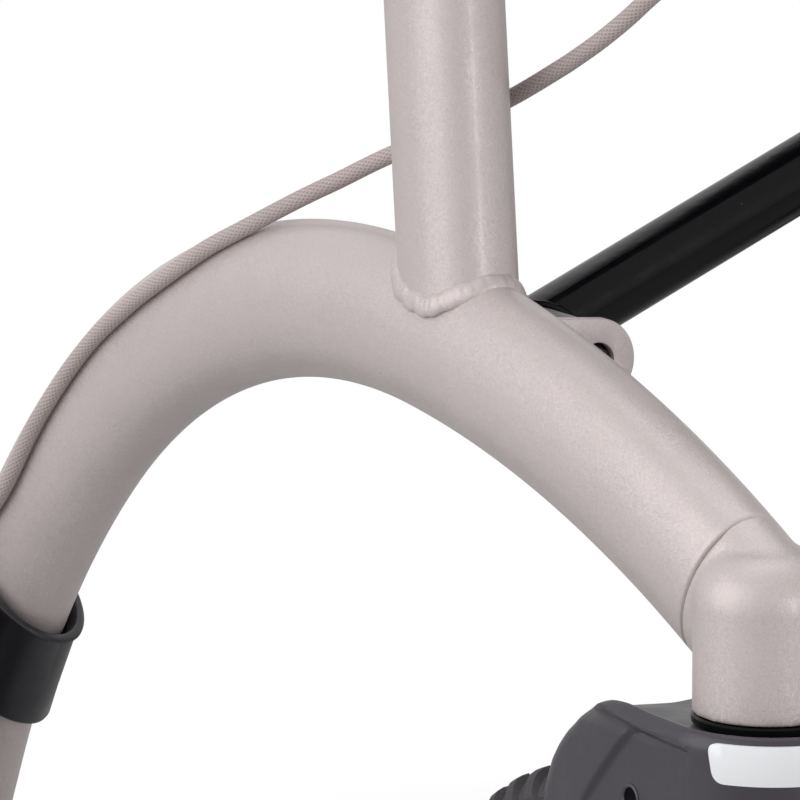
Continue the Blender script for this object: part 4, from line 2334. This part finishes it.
@dataclass
class CrossBrace:
    """The two crossed braces, their bolt, the seat rails and the hooks they rest in."""

    diameter: float = 0.0210
    angle: float = 23.5
    behind: float = 0.0120
    side_gap: float = 0.0030
    rail_diameter: float = 0.0180
    rail_back: float = 0.1893
    rail_ahead: float = 0.0567
    sleeve: Flat = (0.0210, 0.0022)
    cradle: Flat = (0.0180, 0.0023)
    bead: float = 0.0013
    bead_marks: int = 72

    @property
    def reach(self) -> float:
        """From the middle of the rollator to a hinge."""
        return HALF_TRACK - TUBES.hinge_inset

    @property
    def right_x(self) -> float:
        """Where the brace hinged on the right stands."""
        return TUBES.foot[0] - self.behind

    @property
    def left_x(self) -> float:
        """Where the brace hinged on the left stands."""
        return self.right_x + self.diameter + self.side_gap

    @property
    def rail_height(self) -> float:
        """The height of the seat rails."""
        return TUBES.hinge_height + 2 * self.reach * math.tan(math.radians(self.angle))

    @property
    def sleeve_radius(self) -> float:
        """The radius of the sleeve round a rail."""
        return self.rail_diameter / 2 + GAP + self.sleeve[1]

    def brace(self, low_side: int, x: float) -> Mesh:
        """Build a brace with a sleeve welded across each end.

        Args:
            low_side: The sign of Y at its lower hinge.
            x: Where it stands.

        Returns:
            The brace in the model's frame.
        """
        low = Vector((x, low_side * self.reach, TUBES.hinge_height))
        high = Vector((x, -low_side * self.reach, self.rail_height))
        foot, head = ((end.y, end.z) for end in (low, high))
        radius, half = self.diameter / 2, self.sleeve[0] / 2
        front = TUBES.foot[0] + TUBES.ear_ahead - TUBES.ear_thickness - GAP
        rear = TUBES.foot[0] - TUBES.ear_behind + TUBES.ear_thickness + GAP
        solid = fuse(bar(radius, low, high, 72), rod("X", radius, foot, rear, front, 64, 0.0008),
                     rod("X", self.sleeve_radius, head, x - half, x + half, 64, 0.0008))
        run, forwards = (high - low).normalized(), Vector((1, 0, 0))
        across = run.cross(forwards)
        sizes = [self.bead * (0.9 + 0.18 * abs(math.sin(i * 0.9)))
                 for i in range(self.bead_marks)]
        beads = []
        for at, size, way in ((low, radius, 1), (high, self.sleeve_radius, -1)):
            line = []
            for turn in turns(self.bead_marks):
                out = forwards * math.cos(turn) + across * math.sin(turn)
                off = max(size ** 2 - (out.dot(across) * radius) ** 2, 1e-8)
                line.append(at + out * (radius + 0.0002) + run * (math.sqrt(off) + 0.0004) * way)
            beads.append(sweep(line, sizes, 12, looped=True))
        holes = [rod("X", TUBES.bolt_radius + GAP, foot, rear - 0.01, front + 0.01, 40),
                 rod("X", self.rail_diameter / 2 + GAP, head, x - 0.05, x + 0.05, 56)]
        return gather(cut(solid, *holes), *beads)

    def bolt(self) -> Mesh:
        """Build the centre bolt with its washer, hexagon head and nut.

        Returns:
            The bolt.
        """
        centre = (0.0, (TUBES.hinge_height + self.rail_height) / 2)
        radius, size = self.diameter / 2, TUBES.bolt_radius
        rear, front = self.right_x - radius, self.left_x + radius
        shank = rod("X", size, centre, rear - GAP, front + GAP, 40)
        washer = rod("X", size * 2.1, centre, self.right_x + radius + GAP,
                     self.left_x - radius - GAP, 48, 0.0003)
        head, nut = (soften(rod("X", size * 1.75, centre, *ends, 6), 0.0005)
                     for ends in ((rear - 0.0045, rear - GAP), (front + GAP, front + 0.0040)))
        end = rod("X", size * 0.8, centre, front, front + 0.0050, 32, 0.0004)
        return gather(shank, washer, head, nut, end)

    def rail(self) -> Mesh:
        """Build a seat rail, rolled in at both ends and open behind.

        Returns:
            The rail.
        """
        r = self.rail_diameter / 2
        rear, front = self.right_x - self.rail_back, self.right_x + self.rail_ahead
        return revolve([(r - 0.0030, rear + 0.030), (r - 0.0030, rear + 0.0006),
                        (r - 0.0024, rear), (r - 0.0010, rear + 0.0002), (r, rear + 0.0014),
                        (r, front - 0.0024), (r - 0.0008, front - 0.0007),
                        (r - 0.0026, front), (0.0010, front)], 64,
                       (0, TUBES.hinge_inset, self.rail_height), "X")

    def hook(self) -> Mesh:
        """Build the hook on the upright in which a rail rests.

        Returns:
            The hook.
        """
        radius, inset, high = self.rail_diameter / 2 + GAP, TUBES.hinge_inset, self.rail_height
        base = high - radius - 0.0050
        middle = (high - TUBES.foot[1]) / math.cos(math.radians(TUBES.lean))
        marks = ((-0.0320, 0.0016), (-0.0313, 0.0022), (-0.0300, 0.0024), (-0.0080, 0.0024),
                 (-0.0067, 0.0022), (-0.0060, 0.0016))
        band = sheath(TUBES.upright_ring, [(middle + at, grow) for at, grow in marks])
        lip = inset + radius + 0.0040
        outline = [(0.0, base - 0.010), (inset - 0.006, base - 0.003), (inset + 0.006, base),
                   (inset + 0.010, base + 0.0018), (lip, base + 0.0075),
                   (lip - 0.0004, high - 0.0008), (lip - 0.0016, high + 0.0010),
                   (inset + radius, high + 0.0010), *arc((inset, high), radius, 0, -180, 32),
                   (inset - radius, high - 0.0010), (0.0, high - 0.0075)]
        front = self.right_x - self.sleeve[0] / 2 - self.cradle[1]
        arm = prism(outline, front - self.cradle[0], front, "X")
        tube = sheath(TUBES.upright_ring, [(middle + at, GAP) for at in (-0.06, 0.03)])
        return soften(cut(fuse(band, arm), tube), 0.0006, 45)

    def dress(self, shop: Workshop) -> None:
        """Put the whole linkage into the scene.

        Args:
            shop: The workshop that places the pieces.
        """
        for side, x in ((Side.RIGHT, self.right_x), (Side.LEFT, self.left_x)):
            shop.put(Fitting(side.prefix + "cross_brace", self.brace(side.value, x), SATIN_BLACK,
                             side.prefix + "cross", side.prefix + "brace"))
        shop.put(Fitting("cross_bolt", self.bolt(), BLACK_STEEL, "right_cross", "centre_bolt"))
        rail, hook = self.rail(), self.hook()
        for side in Side:
            shop.put_side(Fitting("rail_tube", rail, SATIN_BLACK, "rail", "seat_rail"), side)
            shop.put_side(Fitting("rail_hook", hook, BLACK_PLASTIC, "frame", "rail_cradle"),
                          side)


BRACES = CrossBrace()


# Seat

CLOTH: dict[str, object] = {
    "quality": 6, "mass": 0.25, "tension_stiffness": 20, "compression_stiffness": 20,
    "shear_stiffness": 8, "bending_stiffness": 1.5, "use_pressure": True,
    "uniform_pressure_force": 4.0, "vertex_group_mass": "held"}
CLOTH_FRAMES = 20


def settle(mesh: Mesh, held: Callable[[np.ndarray], np.ndarray], reach: float) -> Mesh:
    """Puff a closed form out as cloth does.

    Args:
        mesh: The form, a little smaller than it ends up.
        held: Tells from the corners' places which of them stay.
        reach: The farthest any corner may move.

    Returns:
        The settled form.
    """
    body = remould(mesh, CLOTH_VOXEL, 1)
    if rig.quick():
        return body
    before = corners_of(body)
    holder = stand("cloth", body)
    group = holder.vertex_groups.new(name="held")
    group.add([int(i) for i in np.flatnonzero(held(before))], 1.0, "REPLACE")
    cloth = holder.modifiers.new("cloth", "CLOTH")
    for key, value in CLOTH.items():
        setattr(cloth.settings, key, value)
    cloth.settings.effector_weights.gravity = 0
    cloth.point_cache.frame_start, cloth.point_cache.frame_end = 1, CLOTH_FRAMES
    for frame in range(1, CLOTH_FRAMES + 1):
        bpy.context.scene.frame_set(frame)
    graph = bpy.context.evaluated_depsgraph_get()
    result = bpy.data.meshes.new_from_object(holder.evaluated_get(graph))
    bpy.data.objects.remove(holder)
    bpy.context.scene.frame_set(1)
    shift = corners_of(result) - before
    length = np.maximum(np.linalg.norm(shift, axis=1), 1e-9)
    return set_corners(result, before + shift * np.minimum(1, reach / length)[:, None])


@dataclass
class Seat:
    """The padded seat slung between the rails, its sleeves and its pull strap."""

    overhang: float = 0.0060
    margin: float = 0.0040
    start_height: float = 0.0120
    channel: float = 0.1137
    strap_width: float = 0.0250
    strap_thickness: float = 0.0022
    strap_margin: float = 0.0650
    cloth: float = 0.0009
    keep: float = 0.382
    anchor: Triple = (0.13, -0.2215, 0.50)
    puff: float = 0.0075
    corner: float = 0.014
    seam_depth: float = 0.0042
    seam_width: float = 0.0055
    edge_depth: float = 0.0020
    under_depth: float = 0.0016
    sleeve_gap: float = 0.00025
    stitch_step: float = 0.0048
    stitch: float = 0.0034
    piping_marks: int = 200
    strap_marks: int = 60

    @property
    def middle(self) -> float:
        """Where the seat's middle stands, from rear to front."""
        return (self.back + self.front) / 2

    @property
    def back(self) -> float:
        """The seat's rear edge."""
        return BRACES.right_x - BRACES.rail_back + self.margin

    @property
    def front(self) -> float:
        """The seat's front edge."""
        return BRACES.right_x + BRACES.rail_ahead - self.margin

    @property
    def base(self) -> float:
        """The height of the seat's underside."""
        return BRACES.rail_height + BRACES.rail_diameter / 2 + GAP

    @property
    def reach(self) -> float:
        """From the seat's middle to either end."""
        return BRACES.reach + self.overhang

    def form(self) -> Mesh:
        """Build the pad's plain form, a little smaller than the pad ends up.

        Returns:
            The form.
        """
        reach = self.reach
        middle, half = self.middle, (self.front - self.back) / 2
        rear, front, edge = self.back + 0.002, self.front - 0.002, reach - 0.002
        outline = rounded([(rear, -edge), (front, -edge), (front, edge), (rear, edge)],
                          self.corner, 8)
        rings = []
        for inset, rise in ((0.004, 0.0), (0.0012, 0.0022), (0.0, self.start_height / 2),
                            (0.0012, self.start_height - 0.0022), (0.004, self.start_height)):
            rings.append([Vector((middle + (x - middle) * (1 - inset / half),
                                  v * (1 - inset / reach), self.base + 0.0015 + rise))
                          for x, v in outline])
        return skin(rings)

    def pad(self) -> Mesh:
        """Build the pad: puffed as cloth, then sewn down along two channels.

        Returns:
            The pad in the model's frame.
        """
        puffed = settle(self.form(), lambda p: (np.abs(p[:, 1]) > self.reach - 0.016)
                        & (p[:, 2] < self.base + 0.0070), self.puff)
        puffed = shaped(puffed, ("SMOOTH", {"factor": 0.5, "iterations": 3}),
                        ("SUBSURF", {"levels": 1, "render_levels": 1}))
        return set_corners(puffed, self.sew(corners_of(puffed)))

    def sew(self, places: np.ndarray) -> np.ndarray:
        """Sew the puffed pad down, ripple its cloth and rest it on rails and sleeves.

        Args:
            places: The puffed pad's corners, which are changed.

        Returns:
            The same array.
        """
        reach, middle = self.reach, self.middle
        x, y, z = places.T
        above = ease(z, self.base + 0.0055, self.base + 0.0100)
        seam = sum(np.exp(-((y - at) / self.seam_width) ** 2)
                   for at in (-self.channel, self.channel))
        edge = np.exp(-((np.abs(y) - reach + 0.021) / 0.004) ** 2)
        places[:, 2] -= above * (self.seam_depth * seam + self.edge_depth * edge)
        places[:, 2] += (1 - above) * self.under_depth * seam
        ripple = 0.00045 * np.sin(x * 210 + 3 * np.sin(y * 31)) + 0.0003 * np.sin(x * 393 + 1)
        places[:, 2] += ripple * above * (0.35 + 0.9 * seam + np.exp(
            -((np.abs(y) - reach + 0.02) / 0.02) ** 2))
        share = np.clip(1 - (y / reach) ** 2, 0, 1)
        places[:, 0] = middle + (x - middle) * (1 - 0.045 * share)
        over = ease(np.abs(y), reach - 0.034, reach - 0.020)
        floor = self.base + 0.0002 + 0.0012 * over
        for at, sign in ((BRACES.right_x, 1), (BRACES.left_x, -1)):
            near = 1 - ease(np.abs(places[:, 0] - at), 0.0125, 0.0165)
            floor = np.maximum(floor, self.base + 0.0042 * near * ease(
                sign * y, reach - 0.032, reach - 0.021))
        low = places[:, 2] < floor
        places[low, 2] = floor[low]
        return places

    def top(self, places: np.ndarray, x: float, y: float) -> float:
        """Return the pad's upper surface over a point."""
        near = np.argsort((places[:, 0] - x) ** 2 + (places[:, 1] - y) ** 2
                          - 1e-4 * (places[:, 2] > self.base + 0.008))[:5]
        return float(places[near, 2].max())

    def piping(self, places: np.ndarray) -> Mesh:
        """Build the piping sewn round the pad's edge.

        Args:
            places: The pad's corners.

        Returns:
            The piping.
        """
        spots, count = [], self.piping_marks
        for turn in turns(count):
            c, s = math.cos(turn), math.sin(turn)
            reach = (places[:, 0] - self.middle) * c + places[:, 1] * s
            strip = np.abs((places[:, 0] - self.middle) * -s + places[:, 1] * c) < 0.0045
            level = np.abs(places[:, 2] - self.base - 0.0068) < 0.0035
            best = np.flatnonzero(strip & level)
            pick = places[best[np.argmax(reach[best])]]
            spots.append(Vector((float(pick[0]), float(pick[1]), self.base + 0.0070)))
        for _ in range(3):
            spots = [(spots[i - 1] + 2 * spots[i] + spots[(i + 1) % count]) / 4
                     for i in range(count)]
        return sweep(smooth_route([*spots, spots[0]], 0.0035)[:-1], 0.0021, 14, looped=True)

    def stitches(self, places: np.ndarray) -> Mesh:
        """Build the rows of stitches along the channels.

        Args:
            places: The pad's corners.

        Returns:
            All the stitches.
        """
        made = []
        count = int((self.front - self.back - 0.03) / self.stitch_step)
        for y in (-self.channel, self.channel):
            for i in range(count):
                x = self.back + 0.016 + self.stitch_step * i
                low, high = (self.top(places, at, y) for at in (x, x + self.stitch))
                line = [Vector((x + self.stitch * k / 4, y, low + (high - low) * k / 4
                                + 0.0006 * math.sin(math.pi * k / 4) + 0.0001))
                        for k in range(5)]
                made.append(sweep(line, 0.00042, 8))
        return gather(*made)

    def strap(self, places: np.ndarray) -> tuple[Mesh, float]:
        """Build the webbing strap along the pad.

        Args:
            places: The pad's corners.

        Returns:
            The strap and its length.
        """
        start, end = self.back + self.strap_margin - 0.004, self.front - self.strap_margin + 0.004
        rings, spine = [], []
        for i, x in enumerate(spread(start, end, self.strap_marks)):
            lift = 0.0065 * max(0.0, math.sin(math.pi * (i - 12) / 36)) ** 1.4 * (12 < i < 48)
            z = float(np.mean([self.top(places, x + k, 0.0) for k in (-0.006, 0.0, 0.006)]))
            spine.append(Vector((x, 0, z + 0.0012 + self.strap_thickness / 2 + lift)))
        for _ in range(4):
            spine = [spine[0], *[(a + 2 * b + c) / 4 for a, b, c in
                                 zip(spine, spine[1:], spine[2:])], spine[-1]]
        length = sum((b - a).length for a, b in zip(spine, spine[1:]))
        for i, spot in enumerate(spine):
            before, after = spine[max(i - 1, 0)], spine[min(i + 1, self.strap_marks)]
            run = (after - before).normalized()
            out = Vector((-run.z, 0, run.x))
            rings.append([spot + out * n + Vector((0, v, 0)) for n, v in
                          oval(self.strap_thickness, self.strap_width, 40, 7.0)])
        return skin(rings), length

    def sleeve(self, start: float, end: float) -> Mesh:
        """Build a sleeve of seat cloth round a rail.

        Args:
            start: Where it starts along the rail.
            end: Where it ends.

        Returns:
            The sleeve, in side coordinates.
        """
        rings = []
        steps = max(6, round((end - start) / 0.0022))
        radius = BRACES.rail_diameter / 2 + self.sleeve_gap
        for inner in (False, True):
            for i in range(steps + 1):
                at = (steps - i if inner else i) / steps
                x = start + (end - start) * at
                ring = []
                for turn in turns(48):
                    fold = 0.00022 * math.sin(3 * turn + 90 * x) + 0.00016 * math.sin(
                        x * 700 + 2 * turn)
                    size = radius + (0.0 if inner else self.cloth) + max(-0.0001, fold)
                    ring.append(Vector((x, TUBES.hinge_inset + size * math.cos(turn),
                                        BRACES.rail_height + size * math.sin(turn))))
                rings.append(ring)
        return skin(rings, looped=True)

    def dress(self, shop: Workshop) -> None:
        """Put the seat, its trim and its sleeves into the scene.

        Args:
            shop: The workshop that places the pieces.
        """
        pad = self.pad()
        places = corners_of(pad)
        strap, length = self.strap(places)
        made = [shop.put(piece) for piece in (
            Fitting("seat_pad", pad, WOVEN, "right_rail", "seat", 180.0),
            Fitting("seat_piping", self.piping(places), WEBBING, "right_rail", None, 80.0),
            Fitting("seat_stitching", self.stitches(places), THREAD, "right_rail", None, 80.0),
            Fitting("seat_strap", strap, WEBBING, "right_rail", "pull_strap", 80.0))]
        for piece in made:
            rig.squash(piece, "fold", (0, 1, 0), self.anchor, self.keep)
        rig.padded(made[0], 0.6)
        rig.sheet(made[3], (self.strap_width, round(length, 4)), "laid", ["seat_pad"])
        around = 2 * math.pi * (BRACES.rail_diameter / 2 + self.sleeve_gap + self.cloth / 2)
        for name, start, end in (("rear_sleeve", self.back, 0.0760),
                                 ("front_sleeve", 0.1465, self.front)):
            mesh = self.sleeve(start, end)
            for side in Side:
                piece = shop.put_side(Fitting(name, mesh, WOVEN, "rail", None, 80.0), side)
                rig.sheet(piece, (round(around, 4), round(end - start, 4)), "stretched",
                         [side.prefix + "rail_tube"])


SEAT = Seat()


# Studio

@dataclass
class Studio:
    """A pale floor and backdrop, soft lamps and the camera."""

    aim: Triple = (0.08675, -0.250, 0.280)
    turn: float = 60.0
    rise: float = 11.0
    distance: float = 2.0
    lens: float = 315.0
    room: float = 0.66
    key: float = 7.0
    flank: float = 22.0
    strip: float = 0.7
    top: float = 7.5
    back: float = 2.0
    floor_radius: float = 6.0
    floor_fade: Flat = (0.28, 0.50)

    @property
    def away(self) -> Vector:
        """The direction from the aim to the camera."""
        turn, rise = math.radians(self.turn), math.radians(self.rise)
        return Vector((math.sin(turn) * math.cos(rise), -math.cos(turn) * math.cos(rise),
                       math.sin(rise)))

    def hang(self, name: str, data: bpy.types.ID, place: Vector) -> Object:
        """Place a lamp or a camera so that it faces the rollator.

        Args:
            name: Its name.
            data: The lamp or the camera.
            place: Where it stands, from the aim.

        Returns:
            Its object.
        """
        made = stand(name, data)
        made.location = Vector(self.aim) + place
        made.rotation_euler = (-place).to_track_quat("-Z", "Y").to_euler()
        return made

    def camera(self) -> None:
        """Place the camera."""
        data = bpy.data.cameras.new("camera")
        data.lens, data.sensor_width = self.lens, 36.0
        bpy.context.scene.camera = self.hang("camera", data, self.away * self.distance)

    def lamp(self, name: str, place: Vector, power: float, size: Flat) -> None:
        """Hang a soft lamp that faces the rollator.

        Args:
            name: Its name.
            place: Where it hangs, from the aim.
            power: Its power in watts.
            size: Its width and height.
        """
        data = bpy.data.lights.new(name, "AREA")
        data.shape, data.size, data.size_y, data.energy = "RECTANGLE", *size, power
        self.hang(name, data, place)

    def floor(self) -> None:
        """Lay the floor: shaded near the rollator, white farther off."""
        mesh = revolve([(self.floor_radius, -0.0010), (self.floor_radius, -0.0004)], 96)
        material = bpy.data.materials.new("floor")
        nodes = Nodes(material)
        seen = nodes.add("ShaderNodeLightPath").outputs["Is Camera Ray"]
        pale = nodes.blend(nodes.noise(3.0), (0.90, 0.90, 0.90, 1), (0.93, 0.93, 0.93, 1))
        shade = nodes.blend(seen, (0.5, 0.5, 0.5, 1), pale)
        matt = nodes.add("ShaderNodeBsdfPrincipled", Base_Color=shade, Roughness=0.9,
                         Specular_IOR_Level=0.1)
        white = nodes.add("ShaderNodeEmission", Color=WHITE, Strength=1.0)
        far = nodes.add("ShaderNodeVectorMath", {"operation": "LENGTH"},
                        i0=nodes.place).outputs["Value"]
        share = nodes.sum("MULTIPLY", nodes.span(far, 0.0, 1.0, *self.floor_fade), seen)
        mixed = nodes.add("ShaderNodeMixShader", i0=share, i1=matt.outputs[0],
                          i2=white.outputs[0])
        nodes.add("ShaderNodeOutputMaterial", Surface=mixed.outputs[0])
        mesh.materials.append(material)
        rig.stage(stand("floor", mesh))

    def world(self) -> None:
        """Light the room evenly and show it white."""
        world = bpy.data.worlds.new("room")
        bpy.context.scene.world = world
        world.use_nodes = True
        tree = world.node_tree
        tree.nodes.clear()
        kinds = ("Background", "Background", "LightPath", "MixShader", "OutputWorld")
        room, plain, path, mix, out = (tree.nodes.new("ShaderNode" + kind) for kind in kinds)
        room.inputs["Color"].default_value = WHITE
        room.inputs["Strength"].default_value = self.room
        plain.inputs["Color"].default_value = WHITE
        for start, end in ((path.outputs["Is Camera Ray"], mix.inputs[0]),
                           (room.outputs[0], mix.inputs[1]), (plain.outputs[0], mix.inputs[2]),
                           (mix.outputs[0], out.inputs[0])):
            tree.links.new(start, end)

    def open(self) -> None:
        """Set the whole studio up."""
        bpy.context.scene.view_settings.view_transform = "Standard"
        away, turn = self.away, math.radians(self.turn)
        right, up = Vector((math.cos(turn), math.sin(turn), 0)), Vector((0, 0, 1))
        self.lamp("key", away * 1.6 + right * 1.2, self.key, (0.30, 0.9))
        self.lamp("flank", away * 0.6 - right * 1.9 + up * 0.5, self.flank, (2.0, 2.0))
        self.lamp("strip", away * 0.96 - right * 0.53 + up * 0.33, self.strip, (0.24, 0.7))
        self.lamp("top", up * 1.9 - away * 0.3, self.top, (1.6, 1.2))
        self.lamp("back", up - away * 1.5 - right * 0.3, self.back, (1.4, 0.8))
        self.floor()
        self.world()
        self.camera()


def measure() -> list[list[float]]:
    """Return the shown object's lowest and highest corner as plain numbers."""
    return [[float(part) for part in corner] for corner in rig.bounds()]


def main() -> None:
    """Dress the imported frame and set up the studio."""
    logging.basicConfig(level=logging.INFO, format="%(message)s")
    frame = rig.load()
    sizes = {"frame": measure()}
    shop = Workshop(frame)
    for piece in (*TUBES.fittings(), *CASTER.fittings(), *WHEEL.fittings(), *HANDLE.fittings(),
                  *BRAKE.fittings()):
        for side in Side:
            shop.put_side(piece, side)
    for side in Side:
        BRAKE.lay_cable(shop, side)
        shop.refinish(side.prefix + "caster_stem", BLACK_STEEL)
    BRACES.dress(shop)
    SEAT.dress(shop)
    Studio().open()
    sizes["dressed"] = measure()
    with open("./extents.json", "w", encoding="utf-8") as file:
        json.dump(sizes, file)


if __name__ == "__main__":
    main()
